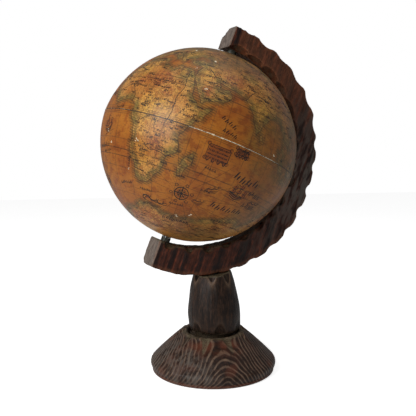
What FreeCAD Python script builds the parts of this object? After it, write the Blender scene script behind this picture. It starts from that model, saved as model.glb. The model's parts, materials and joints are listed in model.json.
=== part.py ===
import FreeCAD, Part
import math
import os

from FreeCAD import Placement, Rotation, Vector

# Desktop globe on a carved wooden stand. Millimetres, +Z up.
# The origin is the centre of the base's underside, on the table.
# The arm stands in the XZ plane and opens towards -X; the globe's north pole leans towards +X.

# Globe
GLOBE_RADIUS = 100.0
POLE_FLATTENING = 2.5
GLOBE_CENTRE = Vector(-16.0, 0.0, 233.5)
AXIS_TILT = 20.5
PAPER = 0.4
GESSO = 1.0
SHELL = 3.0
GLUE = 0.05
GORES = 12
CALOTTE_RADIUS = 20.0
BAND_HALF_WIDTH = 10.0
BAND_THICKNESS = 2.0
POLE_BLOCK_RADIUS = 20.0
POLE_BLOCK_DEPTH = 12.0

# Axle
ROD_RADIUS = 2.5
RUNNING_CLEARANCE = 0.05
BUSH_RADIUS = 4.75
BUSH_LENGTH = 18.0
BUSH_PROUD = 0.8
END_PLAY = 0.3
SPACER_SINK = 1.0
ROD_IN_LOWER_ARM = 15.0
PLUG_RADIUS = 5.0
PLUG_DEPTH = 9.0

# Arm
ARM_INNER = 104.5
ARM_OUTER = 129.6
ARM_OUTER_CENTRE = Vector(1.6, 0, -2.9)
ARM_THICKNESS = 25.0
ARM_END_PAST_AXIS = 10.0
ARM_END_SKEW = 9.0

# Gouge carving along the arm's four edges
SCOOP_PAIRS = 17
SCOOP_PITCH = 10.875
SCOOP_FIRST = 2.5
GOUGE_RADIUS = 11.0
OUTER_SCOOP_ON_RIM = 9.0
OUTER_SCOOP_ON_FACE = 3.0
INNER_SCOOP_ON_RIM = 7.0
INNER_SCOOP_ON_FACE = 5.0
GOUGE_STROKE = 60.0

# Base: a cone with a rounded rim; its dished top slopes a little down towards the front
BASE_RADIUS = 65.8
BASE_WIDEST_Z = 8.6
BASE_RIM_ROUND = 6.0
BASE_RIM_LOWEST = -42.0
BASE_FOOT_RADIUS = 64.2
BASE_FOOT_Z = 0.5
BASE_FOOT_BAND = 2.5
BASE_FOOT_CHAMFER = 1.0
BASE_TOP_RADIUS = 32.5
BASE_TOP_Z = 41.5
BASE_TOP_SPARE = 2.2
BASE_TOP_TILT = 3.2
BASE_FRONT = -110.0
DISH_RADIUS = 27.0
DISH_FLOOR_RADIUS = 25.5
DISH_FLOOR_Z = 36.0
BASE_SCOOPS = 10
BASE_SCOOP_PHASE = -86.0
BASE_SCOOP_GOUGE = 5.5
BASE_SCOOP_DEPTH = 3.0
BASE_SCOOP_LENGTH = 10.0

# Stem: a carved barrel, as heights and radii, leaning a little to -X at the top, on a narrower foot
STEM_PROFILE = [
    (42.4, 23.4),
    (45.7, 26.2),
    (57.8, 27.9),
    (72.0, 26.1),
    (86.0, 23.7),
    (99.6, 20.7),
    (112.0, 17.4),
]
STEM_TENON_RADIUS = 19.5
STEM_FOOT_SHIFT = 1.8
STEM_TOP_SHIFT = -0.6
STEM_SHIFT_HEIGHTS = (45.7, 99.6)
STEM_SCOOPS = 7
STEM_TOP_SCOOP_PHASE = -113.0
STEM_FOOT_SCOOP_PHASE = -100.0
STEM_TOP_SCOOP_Z = (104.0, 89.0)
STEM_FOOT_SCOOP_Z = (57.0, 43.5)
STEM_SCOOP_DEPTH = 2.0

# Fastenings
DOWEL_RADIUS = 4.0
DOWEL_X = 8.5
DOWEL_Z = (84.0, 122.0)
SCREW_RADIUS = 3.0
SCREW_HEAD_RADIUS = 6.0
SCREW_HEAD_HEIGHT = 4.0
SCREW_TOP_Z = 76.0
SCREW_TIP = 6.0
SCREW_CLEARANCE = 0.2
WASHER_RADIUS = 9.0
WASHER_THICKNESS = 1.6
COUNTERBORE_RADIUS = 10.0
COUNTERBORE_TOP_Z = 12.5
FELT_RADIUS = 58.0
FELT_THICKNESS = 1.5
FELT_RIM_GAP = 0.3

ORIGIN = Vector(0, 0, 0)
X_AXIS = Vector(1, 0, 0)
Y_AXIS = Vector(0, 1, 0)
Z_AXIS = Vector(0, 0, 1)
AXLE_PLACEMENT = Placement(GLOBE_CENTRE, Rotation(Y_AXIS, AXIS_TILT))

# Sizes that follow from the driving dimensions
GESSO_RADIUS = GLOBE_RADIUS - PAPER - GLUE
SHELL_RADIUS = GESSO_RADIUS - GESSO - GLUE
SHELL_INNER = SHELL_RADIUS - SHELL
POLE_HEIGHT = GLOBE_RADIUS - POLE_FLATTENING
BUSH_HOLE = BUSH_RADIUS + GLUE
ROD_HOLE = ROD_RADIUS + RUNNING_CLEARANCE
BUSH_END = POLE_HEIGHT + BUSH_PROUD
ROD_LOW = -(ARM_INNER + ROD_IN_LOWER_ARM)
ROD_HIGH = ARM_OUTER + ARM_OUTER_CENTRE.z - PLUG_DEPTH


# ---------------------------------------------------------------- helpers

def on_axle(shape):
    """Move a shape from the axle's own frame (globe centre at the origin, axle along Z) to its place."""
    placed = shape.copy()
    placed.transformShape(AXLE_PLACEMENT.toMatrix(), True)
    return placed


def turned_over(shape):
    """The same shape for the southern half."""
    other = shape.copy()
    other.rotate(ORIGIN, X_AXIS, 180)
    return other


def turned(points):
    """Solid of revolution about Z from a closed outline of (radius, height) points."""
    corners = [Vector(radius, 0, height) for radius, height in points]
    face = Part.Face(Part.makePolygon(corners + corners[:1]))
    return face.revolve(ORIGIN, Z_AXIS, 360)


def rod(radius, low, high, x=0.0):
    """Upright cylinder between two heights."""
    return Part.makeCylinder(radius, high - low, Vector(x, 0, low))


def tube(outer, inner, low, high):
    return rod(outer, low, high).cut(rod(inner, low, high))


def gouge_cut(start, end, outward, radius):
    """The wood that one straight gouge stroke takes away: its deepest line runs from start to end."""
    direction = (end - start).normalize()
    away = outward - direction * outward.dot(direction)
    away.normalize()
    middle = (start + end) * 0.5 + away * radius
    return Part.makeCylinder(radius, GOUGE_STROKE, middle - direction * (GOUGE_STROKE / 2), direction)


def polar(radius, degrees, height):
    angle = math.radians(degrees)
    return Vector(radius * math.cos(angle), radius * math.sin(angle), height)


# ---------------------------------------------------------------- globe

def dome_layer(outer, inner, hole, rim=None, sweep=360.0):
    """One layer of the northern half, from the joint (or from the radius rim) up to the hole at the pole.

    The layer's centre lies below the joint, so that the pole is flattened.
    """
    def at_joint(sphere):
        return Vector(math.sqrt(sphere ** 2 - (GLUE + POLE_FLATTENING) ** 2), 0, GLUE)

    def at_radius(sphere, radius):
        return Vector(radius, 0, math.sqrt(sphere ** 2 - radius ** 2) - POLE_FLATTENING)

    def arc(sphere, first, last):
        centre = Vector(0, 0, -POLE_FLATTENING)
        middle = (first + last) * 0.5 - centre
        return Part.Arc(first, centre + middle.normalize() * sphere, last).toShape()

    low_outer = at_radius(outer, rim) if rim else at_joint(outer)
    low_inner = at_radius(inner, rim) if rim else at_joint(inner)
    high_outer = at_radius(outer, hole)
    high_inner = at_radius(inner, hole)
    outline = Part.Wire([
        arc(outer, low_outer, high_outer),
        Part.makeLine(high_outer, high_inner),
        arc(inner, high_inner, low_inner),
        Part.makeLine(low_inner, low_outer),
    ])
    return Part.Face(outline).revolve(ORIGIN, Z_AXIS, sweep)


def map_gores():
    """Twelve thin paper gores that meet edge to edge, from the equator to the polar calotte."""
    step = 360.0 / GORES
    joint = math.degrees(GLUE / GLOBE_RADIUS)
    gore = dome_layer(GLOBE_RADIUS, GLOBE_RADIUS - PAPER, CALOTTE_RADIUS + GLUE, sweep=step - joint)
    gores = []
    for index in range(GORES):
        copy = gore.copy()
        copy.rotate(ORIGIN, Z_AXIS, index * step)
        gores.append(copy)
    return Part.makeCompound(gores)


def pole_block():
    """Wooden disc under the pole, domed to fit inside the shell and bored for the bush."""
    top = Part.makeSphere(SHELL_INNER - GLUE, Vector(0, 0, -POLE_FLATTENING))
    low = SHELL_INNER - POLE_FLATTENING - POLE_BLOCK_DEPTH
    return rod(POLE_BLOCK_RADIUS, low, GLOBE_RADIUS).common(top).cut(rod(BUSH_HOLE, 0, GLOBE_RADIUS))


def equator_band():
    """Strip glued inside the joint, across both halves."""
    def inside(height):
        return math.sqrt(SHELL_INNER ** 2 - (height + POLE_FLATTENING) ** 2) - 2 * GLUE
    waist = inside(0.0)
    edge = inside(BAND_HALF_WIDTH)
    return turned([
        (waist, 0.0),
        (edge, BAND_HALF_WIDTH),
        (edge - BAND_THICKNESS, BAND_HALF_WIDTH),
        (edge - BAND_THICKNESS, -BAND_HALF_WIDTH),
        (edge, -BAND_HALF_WIDTH),
    ])


def globe_nodes():
    northern = {
        "hemisphere": dome_layer(SHELL_RADIUS, SHELL_INNER, BUSH_HOLE),
        "gesso": dome_layer(GESSO_RADIUS, GESSO_RADIUS - GESSO, BUSH_HOLE),
        "map_gores": map_gores(),
        "polar_calotte": dome_layer(GLOBE_RADIUS, GLOBE_RADIUS - PAPER, BUSH_HOLE, rim=CALOTTE_RADIUS),
        "pole_block": pole_block(),
        "pole_bush": tube(BUSH_RADIUS, ROD_HOLE, BUSH_END - BUSH_LENGTH, BUSH_END),
    }
    nodes = {"equator_band": on_axle(equator_band())}
    for name, shape in northern.items():
        nodes[name + "_north"] = on_axle(shape)
        nodes[name + "_south"] = on_axle(turned_over(shape))
    return nodes


# ---------------------------------------------------------------- arm and axle

def arm_scoops():
    """Gouge strokes across the outer and inner edges of both faces, in line with each other."""
    def outer_radius(radial):
        across = ARM_OUTER_CENTRE.cross(radial).Length
        return ARM_OUTER_CENTRE.dot(radial) + math.sqrt(ARM_OUTER ** 2 - across ** 2)

    cuts = []
    for index in range(SCOOP_PAIRS):
        angle = math.radians(SCOOP_FIRST + SCOOP_PITCH * index)
        radial = Vector(math.sin(angle), 0, -math.cos(angle))
        for side in (-1, 1):
            face = Y_AXIS * (side * ARM_THICKNESS / 2)
            inwards = Y_AXIS * -side
            outer_rim = radial * outer_radius(radial) + face + inwards * OUTER_SCOOP_ON_RIM
            outer_face = radial * (outer_radius(radial) - OUTER_SCOOP_ON_FACE) + face
            cuts.append(gouge_cut(outer_rim, outer_face, radial - inwards, GOUGE_RADIUS))
            inner_rim = radial * ARM_INNER + face + inwards * INNER_SCOOP_ON_RIM
            inner_face = radial * (ARM_INNER + INNER_SCOOP_ON_FACE) + face
            cuts.append(gouge_cut(inner_rim, inner_face, -radial - inwards, GOUGE_RADIUS))
    return cuts


def carved_arm():
    """The C-shaped arm in the axle's frame, sawn from one plank and carved, before drilling."""
    def disc(radius, centre):
        return Part.makeCylinder(radius, ARM_THICKNESS, centre - Y_AXIS * (ARM_THICKNESS / 2), Y_AXIS)

    ring = disc(ARM_OUTER, ARM_OUTER_CENTRE).cut(disc(ARM_INNER, ORIGIN))
    reach = 2 * ARM_OUTER
    kept_side = Part.makeBox(reach, reach, 2 * reach, Vector(-ARM_END_PAST_AXIS, -ARM_OUTER, -reach))
    kept_side.rotate(ORIGIN, Z_AXIS, ARM_END_SKEW)
    return ring.common(kept_side).cut(arm_scoops())


def spacer():
    """Collar between the globe's upper pole and the arm, let a little into the arm."""
    return tube(BUSH_RADIUS, ROD_RADIUS + GLUE, BUSH_END + END_PLAY, ARM_INNER + SPACER_SINK)


def arm_and_axle_nodes():
    arm = carved_arm()
    plug = arm.common(rod(PLUG_RADIUS, ROD_HIGH, ARM_OUTER))
    spacer_seat = rod(BUSH_HOLE, 0, ARM_INNER + SPACER_SINK)
    drilled = arm.cut([
        rod(ROD_RADIUS + GLUE, ROD_LOW, ROD_HIGH),
        rod(PLUG_RADIUS + GLUE, ROD_HIGH, ARM_OUTER),
        spacer_seat,
        turned_over(spacer_seat),
    ])
    return {
        "meridian_arm": on_axle(drilled).cut(dowel_shapes(GLUE)),
        "axle_rod": on_axle(rod(ROD_RADIUS, ROD_LOW, ROD_HIGH)),
        "axle_plug": on_axle(plug),
        "upper_spacer": on_axle(spacer()),
        "lower_spacer": on_axle(turned_over(spacer())),
    }


# ---------------------------------------------------------------- stem and base

def dowel_shapes(allowance=0.0):
    low, high = DOWEL_Z
    return [rod(DOWEL_RADIUS + allowance, low - allowance, high + allowance, x) for x in (-DOWEL_X, DOWEL_X)]


def stem_shift(height):
    """The stem's sideways lean at a height."""
    low, high = STEM_SHIFT_HEIGHTS
    part = (height - low) / (high - low)
    return STEM_FOOT_SHIFT + (STEM_TOP_SHIFT - STEM_FOOT_SHIFT) * part


def stem_radius(height):
    for (low, low_radius), (high, high_radius) in zip(STEM_PROFILE, STEM_PROFILE[1:]):
        if height <= high:
            part = (height - low) / (high - low)
            return low_radius + (high_radius - low_radius) * part
    return STEM_PROFILE[-1][1]


def stem_scoops():
    """Thumbnail cuts around the stem's top and foot, each a stroke from inside the edge out to the side."""
    rows = (
        (STEM_TOP_SCOOP_PHASE, STEM_TOP_SCOOP_Z),
        (STEM_FOOT_SCOOP_PHASE, reversed(STEM_FOOT_SCOOP_Z)),
    )
    cuts = []
    for phase, (edge_z, side_z) in rows:
        shift = Vector(stem_shift(edge_z), 0, 0)
        for index in range(STEM_SCOOPS):
            degrees = phase + 360.0 / STEM_SCOOPS * index
            edge = polar(stem_radius(edge_z) - 2 * STEM_SCOOP_DEPTH, degrees, edge_z) + shift
            side = polar(stem_radius(side_z), degrees, side_z) + shift
            cuts.append(gouge_cut(edge, side, polar(1, degrees, 0), GOUGE_RADIUS))
    return cuts


def stem():
    sections = []
    for height, radius in STEM_PROFILE:
        sections.append(Part.Wire(Part.makeCircle(radius, Vector(stem_shift(height), 0, height), Z_AXIS)))
    barrel = Part.makeLoft(sections, True, False).cut(stem_scoops())
    tenon = rod(STEM_TENON_RADIUS, DISH_FLOOR_Z, STEM_PROFILE[1][0])
    arm_centre = AXLE_PLACEMENT.multVec(ARM_OUTER_CENTRE)
    saddle = Part.makeCylinder(
        ARM_OUTER + GLUE, 2 * BASE_RADIUS, Vector(arm_centre.x, -BASE_RADIUS, arm_centre.z), Y_AXIS)
    pilot = rod(SCREW_RADIUS + GLUE, 0, SCREW_TOP_Z + GLUE)
    return barrel.fuse(tenon).cut([saddle, pilot]).cut(dowel_shapes(GLUE))


def base_blank():
    """The base before carving: underside, foot band, rounded rim, straight slope and the dished top."""
    rim_centre = (BASE_RADIUS - BASE_RIM_ROUND, BASE_WIDEST_Z)
    slope = math.degrees(math.atan2(BASE_RADIUS - BASE_TOP_RADIUS, BASE_TOP_Z - BASE_WIDEST_Z))

    def on_rim(degrees):
        angle = math.radians(degrees)
        return Vector(
            rim_centre[0] + BASE_RIM_ROUND * math.cos(angle), 0, rim_centre[1] + BASE_RIM_ROUND * math.sin(angle))

    rim_low = on_rim(BASE_RIM_LOWEST)
    rim_high = on_rim(slope)
    corners = [
        rim_high,
        Vector(BASE_TOP_RADIUS, 0, BASE_TOP_Z),
        Vector(BASE_TOP_RADIUS - BASE_TOP_SPARE, 0, BASE_TOP_Z + BASE_TOP_SPARE),
        Vector(DISH_RADIUS, 0, BASE_TOP_Z + BASE_TOP_SPARE),
        Vector(DISH_FLOOR_RADIUS, 0, DISH_FLOOR_Z),
        Vector(0, 0, DISH_FLOOR_Z),
        Vector(0, 0, BASE_FOOT_Z),
        Vector(BASE_FOOT_RADIUS - BASE_FOOT_CHAMFER, 0, BASE_FOOT_Z),
        Vector(BASE_FOOT_RADIUS, 0, BASE_FOOT_Z + BASE_FOOT_BAND),
        rim_low,
    ]
    edges = [Part.Arc(rim_low, on_rim(0), rim_high).toShape()]
    for first, second in zip(corners, corners[1:]):
        edges.append(Part.makeLine(first, second))
    return Part.Face(Part.Wire(edges)).revolve(ORIGIN, Z_AXIS, 360)


def base():
    """The base with its sloping top, the scoops cut down from the top's edge, and the holes."""
    waste = Part.makeBox(
        2 * BASE_RADIUS, 2 * BASE_RADIUS, BASE_RADIUS, Vector(-BASE_RADIUS, -BASE_RADIUS, BASE_TOP_Z))
    waste.rotate(Vector(0, 0, BASE_TOP_Z), polar(1, BASE_FRONT + 90, 0), BASE_TOP_TILT)
    scoops = []
    for index in range(BASE_SCOOPS):
        degrees = BASE_SCOOP_PHASE + 360.0 / BASE_SCOOPS * index
        start = polar(BASE_TOP_RADIUS, degrees, BASE_TOP_Z - BASE_SCOOP_DEPTH)
        end = polar(BASE_TOP_RADIUS + BASE_SCOOP_LENGTH, degrees, BASE_TOP_Z - BASE_SCOOP_LENGTH)
        scoops.append(gouge_cut(start, end, polar(1, degrees, 1), BASE_SCOOP_GOUGE))
    holes = [
        rod(SCREW_RADIUS + SCREW_CLEARANCE, 0, BASE_TOP_Z),
        rod(COUNTERBORE_RADIUS, 0, COUNTERBORE_TOP_Z),
        rod(FELT_RADIUS + FELT_RIM_GAP, 0, FELT_THICKNESS),
    ]
    return base_blank().cut(waste).cut(holes).cut(scoops)


def base_screw():
    """Wood screw from below, its thread left plain."""
    head_top = COUNTERBORE_TOP_Z - WASHER_THICKNESS
    return turned([
        (0, head_top - SCREW_HEAD_HEIGHT),
        (SCREW_HEAD_RADIUS, head_top - SCREW_HEAD_HEIGHT),
        (SCREW_HEAD_RADIUS, head_top),
        (SCREW_RADIUS, head_top),
        (SCREW_RADIUS, SCREW_TOP_Z - SCREW_TIP),
        (0, SCREW_TOP_Z),
    ])


def stand_nodes():
    washer_low = COUNTERBORE_TOP_Z - WASHER_THICKNESS
    return {
        "base": base(),
        "base_felt": rod(FELT_RADIUS, 0, FELT_THICKNESS),
        "base_washer": tube(WASHER_RADIUS, SCREW_RADIUS + SCREW_CLEARANCE, washer_low, COUNTERBORE_TOP_Z),
        "base_screw": base_screw(),
        "stem": stem(),
        "arm_dowels": Part.makeCompound(dowel_shapes()),
    }


# ---------------------------------------------------------------- export

def main():
    os.makedirs("parts", exist_ok=True)
    nodes = {**stand_nodes(), **arm_and_axle_nodes(), **globe_nodes()}
    for name, shape in nodes.items():
        shape.exportStep("parts/" + name + ".step")
        solids = len(shape.Solids)
        print(name, "solids", solids, "valid", shape.isValid(), "volume", round(shape.Volume))


main()
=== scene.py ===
"""Looks of the desktop globe on its carved stand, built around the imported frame.

Lengths are in millimetres until a mesh is made; Blender's own units are metres.
"""
import json
import math
import random

import bpy
import numpy as np
from mathutils import Matrix, Vector, kdtree


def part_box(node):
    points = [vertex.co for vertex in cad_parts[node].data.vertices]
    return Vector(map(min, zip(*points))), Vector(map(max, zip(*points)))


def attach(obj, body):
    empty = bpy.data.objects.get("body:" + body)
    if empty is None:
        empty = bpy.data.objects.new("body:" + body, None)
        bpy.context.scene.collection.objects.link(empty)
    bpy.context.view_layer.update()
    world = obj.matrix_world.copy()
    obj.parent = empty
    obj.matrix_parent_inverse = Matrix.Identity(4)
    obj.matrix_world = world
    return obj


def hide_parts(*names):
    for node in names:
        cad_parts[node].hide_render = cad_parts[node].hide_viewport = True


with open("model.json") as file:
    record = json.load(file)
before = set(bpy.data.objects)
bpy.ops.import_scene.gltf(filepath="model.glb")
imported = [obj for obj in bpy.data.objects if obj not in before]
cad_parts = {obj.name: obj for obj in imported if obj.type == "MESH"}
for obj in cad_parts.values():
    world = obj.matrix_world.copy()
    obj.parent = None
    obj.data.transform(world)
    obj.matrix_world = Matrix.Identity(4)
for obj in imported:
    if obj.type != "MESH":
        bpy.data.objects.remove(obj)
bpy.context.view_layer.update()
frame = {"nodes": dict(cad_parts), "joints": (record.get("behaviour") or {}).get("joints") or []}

MM = 0.001

# ---------------------------------------------------------------- sizes taken from the frame

spin = frame["joints"][0]
GLOBE_CENTRE = np.array(spin["pos_m"]) / MM
AXIS = np.array(spin["axis"]) / np.linalg.norm(spin["axis"])
SIDE = np.array([AXIS[2], 0.0, -AXIS[0]])
BACK = np.array([0.0, 1.0, 0.0])
AXLE_FRAME = np.array([SIDE, BACK, AXIS])


def node_size(node):
    """A node's box in millimetres: lowest corner, highest corner."""
    low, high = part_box(node)
    return np.array(low) / MM, np.array(high) / MM


arm_low, arm_high = node_size("meridian_arm")
gores_low, gores_high = node_size("map_gores_south")
GLOBE_RADIUS = (gores_high[1] - gores_low[1]) / 2
ARM_HALF = (arm_high[1] - arm_low[1]) / 2
BASE_RADIUS = node_size("base")[1][0]

# ---------------------------------------------------------------- sizes of the looks

POLE_FLATTENING = 2.5
BUSH_HOLE = 4.8
PAPER = 0.4
JOINT_GAP = 0.05
LUMP = 0.32
MAP_COLUMNS = 560
MAP_ROWS = 165
MAP_INNER_ROWS = 12
PRIME_MERIDIAN = -156.9

ARM_INNER = 104.5
ARM_OUTER = 129.6
ARM_OUTER_CENTRE = np.array([1.6, -2.9])
ARM_END_PAST_AXIS = 10.0
ARM_END_SKEW = math.radians(9.0)
ARM_CORNER = 1.3
LOW_END_CUT = 3.6
HIGH_END_CUT = 9.0
ARM_PITH = (150.0, -190.0)
ARM_RING_SPACING = 4.2
SCOOP_PAIRS = 17
SCOOP_PITCH = 10.875
SCOOP_FIRST = 2.5
GOUGE_RADIUS = 11.0
STROKE_REACH = 26.0
ARM_GRAIN_RELIEF = 0.22

STEM_BARREL = [
    (42.4, 25.7), (43.4, 26.5), (45.7, 27.2), (51.0, 27.7), (57.8, 27.9), (65.0, 27.2), (72.0, 26.1),
    (86.0, 23.7), (99.6, 20.7), (108.0, 18.5)]
STEM_FOOT = [(36.1, 19.5), (41.0, 19.5), (41.5, 20.6), (41.9, 24.0)]
STEM_FOOT_SHIFT = (45.7, 1.8)
STEM_TOP_SHIFT = (99.6, -0.6)
STEM_SCOOPS = 7
STEM_TOP_SCOOP_PHASE = -113.0
STEM_FOOT_SCOOP_PHASE = -98.0
STEM_TOP_Z = 101.5
STEM_PITH = (-60.0, 34.0)
STEM_RING_SPACING = 3.4

BASE_WIDEST_Z = 8.6
BASE_RIM_ROUND = 6.0
BASE_TOP_RADIUS = 32.5
BASE_TOP_Z = 41.5
BASE_TOP_SLOPE = 0.056
BASE_FRONT = -110.0
DISH_FLOOR_Z = 36.0
BASE_SCOOPS = 10
BASE_SCOOP_PHASE = -86.0
BASE_SCOOP_GOUGE = 8.0
BASE_PITH = (-9.0, -69.0)
BASE_RING_SPACING = 4.3
BASE_RING_RELIEF = 0.18

draw = random.Random(11)


# ---------------------------------------------------------------- meshes

def in_world(points):
    """From the axle's frame (globe centre, axle along Z) to the row's frame."""
    return np.asarray(points) @ AXLE_FRAME + GLOBE_CENTRE


def mesh_piece(name, points, faces, body, material, replaced=(), values=None, sharp=35.0):
    """A named piece from points in millimetres, with its per-point values, riding on a body."""
    mesh = bpy.data.meshes.new(name)
    mesh.from_pydata((np.asarray(points) * MM).tolist(), [], faces)
    for key, data in (values or {}).items():
        data = np.asarray(data, dtype=np.float32)
        if data.ndim == 2:
            mesh.attributes.new(key, "FLOAT_VECTOR", "POINT").data.foreach_set("vector", data.ravel())
        else:
            mesh.attributes.new(key, "FLOAT", "POINT").data.foreach_set("value", data)
    mesh.materials.append(material)
    mesh.polygons.foreach_set("use_smooth", [True] * len(mesh.polygons))
    mesh.validate()
    mesh.update()
    mesh.set_sharp_from_angle(angle=math.radians(sharp))
    piece = bpy.data.objects.new(name, mesh)
    bpy.context.scene.collection.objects.link(piece)
    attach(piece, body)
    if replaced:
        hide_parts(*replaced)
    return piece


def grid_faces(rows, columns, wrap_rows=False, wrap_columns=True):
    """Quads over a grid of points stored row by row."""
    row = np.arange(rows if wrap_rows else rows - 1)
    column = np.arange(columns if wrap_columns else columns - 1)
    row, column = np.meshgrid(row, column, indexing="ij")
    next_row = (row + 1) % rows
    next_column = (column + 1) % columns
    quads = np.stack([
        row * columns + column,
        row * columns + next_column,
        next_row * columns + next_column,
        next_row * columns + column,
    ], axis=-1)
    return quads.reshape(-1, 4).tolist()


def smoothstep(low, high, value):
    """0 at low, 1 at high, with eased ends; low may be the greater."""
    part = np.clip((value - low) / (high - low), 0, 1)
    return part * part * (3 - 2 * part)


def wave_noise(points, size, seed, waves=24):
    """Smooth noise between about -1 and 1 from a sum of sines, with features of about the given size."""
    chance = np.random.RandomState(seed)
    directions = chance.normal(size=(waves, 3))
    directions /= np.linalg.norm(directions, axis=1)[:, None]
    pitch = size * chance.uniform(0.6, 1.8, waves)
    phase = chance.uniform(0, 2 * np.pi, waves)
    total = np.zeros(len(points))
    for direction, length, start in zip(directions, pitch, phase):
        total += np.sin(points @ direction * (2 * np.pi / length) + start)
    return total / math.sqrt(waves)


def grid_normals(points, rows, columns, index, outward):
    """Normals of a grid of points that wraps round its columns, all turned outward by one known point."""
    grid = points.reshape(rows, columns, 3)
    along = np.gradient(grid, axis=0)
    around = np.roll(grid, -1, axis=1) - np.roll(grid, 1, axis=1)
    normals = np.cross(around, along).reshape(-1, 3)
    normals /= np.maximum(np.linalg.norm(normals, axis=1), 1e-9)[:, None]
    return -normals if normals[index] @ outward < 0 else normals


def from_pith(points, pith):
    """Distance from the line along Z round which a block's growth rings lie."""
    return np.hypot(points[:, 0] - pith[0], points[:, 1] - pith[1])


def wood_values(ring, grain, dust, wear, end_grain=0.0, grey_sheen=0.0):
    """What worn_wood reads at each point."""
    nothing = np.zeros(len(ring))
    return {
        "ring": ring, "grain": grain, "dust": dust, "wear": wear,
        "end_grain": nothing + end_grain, "grey_sheen": nothing + grey_sheen}


# ---------------------------------------------------------------- carving

def gouge(start, end, outward, radius):
    """A straight gouge stroke whose deepest line runs from start to end: axis point, direction, radius."""
    start, end, outward = (np.asarray(value, dtype=float) for value in (start, end, outward))
    direction = (end - start) / np.linalg.norm(end - start)
    away = outward - direction * (outward @ direction)
    away /= np.linalg.norm(away)
    return (start + end) / 2 + away * radius, direction, radius


def carve(points, strokes):
    """Push the points that lie inside a stroke out to its surface. Returns the points, the depth that
    was cut away and how near each point is to a cut's edge."""
    points = points.copy()
    depth = np.zeros(len(points))
    edge = np.zeros(len(points))
    for origin, direction, radius in strokes:
        near = np.where(np.linalg.norm(points - origin, axis=1) < STROKE_REACH)[0]
        if not len(near):
            continue
        offset = points[near] - origin
        along = offset @ direction
        across = offset - along[:, None] * direction
        distance = np.linalg.norm(across, axis=1)
        inside = distance < radius
        moved = across[inside] * (radius / distance[inside])[:, None]
        depth[near[inside]] += radius - distance[inside]
        edge[near] = np.maximum(edge[near], np.exp(-np.abs(distance - radius) / 0.8) * (depth[near] < 0.6))
        points[near[inside]] = origin + along[inside][:, None] * direction + moved
    return points, depth, edge


# ---------------------------------------------------------------- shader building

class Shader:
    """Short forms for building one node material."""

    def __init__(self, name):
        self.material = bpy.data.materials.new(name)
        self.material.use_nodes = True
        self.tree = self.material.node_tree
        self.surface = self.tree.nodes["Principled BSDF"]

    def put(self, socket, value):
        if isinstance(value, bpy.types.NodeSocket):
            self.tree.links.new(value, socket)
        elif value is not None:
            if socket.type == "RGBA" and len(value) == 3:
                value = (*value, 1.0)
            socket.default_value = value

    def node(self, kind, inputs=None, **settings):
        node = self.tree.nodes.new(kind)
        for key, value in settings.items():
            setattr(node, key, value)
        for key, value in (inputs or {}).items():
            self.put(node.inputs[key], value)
        return node

    def value_of(self, name):
        return self.node("ShaderNodeAttribute", attribute_name=name).outputs["Fac"]

    def vector_of(self, name):
        return self.node("ShaderNodeAttribute", attribute_name=name).outputs["Vector"]

    def scaled(self, vector, scale):
        return self.node("ShaderNodeMapping", {"Vector": vector, "Scale": scale}).outputs["Vector"]

    def noise(self, vector, scale, detail=4.0, roughness=0.55):
        return self.node("ShaderNodeTexNoise", {
            "Vector": vector, "Scale": scale, "Detail": detail, "Roughness": roughness,
        }).outputs["Fac"]

    def cells(self, vector, scale):
        return self.node("ShaderNodeTexVoronoi", {"Vector": vector, "Scale": scale}).outputs["Distance"]

    def math(self, operation, first, second=None, third=None):
        node = self.node("ShaderNodeMath", operation=operation)
        for socket, value in zip(node.inputs, (first, second, third)):
            self.put(socket, value)
        return node.outputs["Value"]

    def steps(self, value, low, high, out_low=0.0, out_high=1.0):
        """Smooth step of a value."""
        return self.node("ShaderNodeMapRange", {
            "Value": value, "From Min": low, "From Max": high, "To Min": out_low, "To Max": out_high,
        }, interpolation_type="SMOOTHSTEP").outputs["Result"]

    def times(self, *values):
        result = values[0]
        for value in values[1:]:
            result = self.math("MULTIPLY", result, value)
        return result

    def most(self, *values):
        result = values[0]
        for value in values[1:]:
            result = self.math("MAXIMUM", result, value)
        return result

    def band(self, value, width, soft=0.5):
        """1 where the value is near zero, falling off at the width."""
        return self.steps(self.math("ABSOLUTE", value), width, width * (1 + soft), 1.0, 0.0)

    def lines(self, value, period, width, soft=0.6):
        """Parallel lines wherever the value is near a multiple of the period."""
        folded = self.math("PINGPONG", value, period / 2)
        return self.steps(folded, width, width * (1 + soft), 1.0, 0.0)

    def mix(self, factor, first, second, blend="MIX"):
        node = self.node("ShaderNodeMix", data_type="RGBA", blend_type=blend)
        self.put(node.inputs["Factor"], factor)
        colours = [socket for socket in node.inputs if socket.type == "RGBA"]
        self.put(colours[0], first)
        self.put(colours[1], second)
        return [socket for socket in node.outputs if socket.type == "RGBA"][0]

    def bump(self, height, strength, distance):
        bump = self.node("ShaderNodeBump", {"Height": height, "Strength": strength, "Distance": distance})
        self.put(self.surface.inputs["Normal"], bump.outputs["Normal"])

    def place(self):
        """The point's place on its own object, in metres."""
        return self.node("ShaderNodeTexCoord").outputs["Object"]

    def finish(self, colour, roughness, **constants):
        self.put(self.surface.inputs["Base Color"], colour)
        self.put(self.surface.inputs["Roughness"], roughness)
        for key, value in constants.items():
            self.surface.inputs[key.replace("_", " ")].default_value = value
        return self.material


# ---------------------------------------------------------------- materials: wood

DUST = (0.185, 0.155, 0.090)
DUST_DARK = (0.060, 0.046, 0.028)


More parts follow.
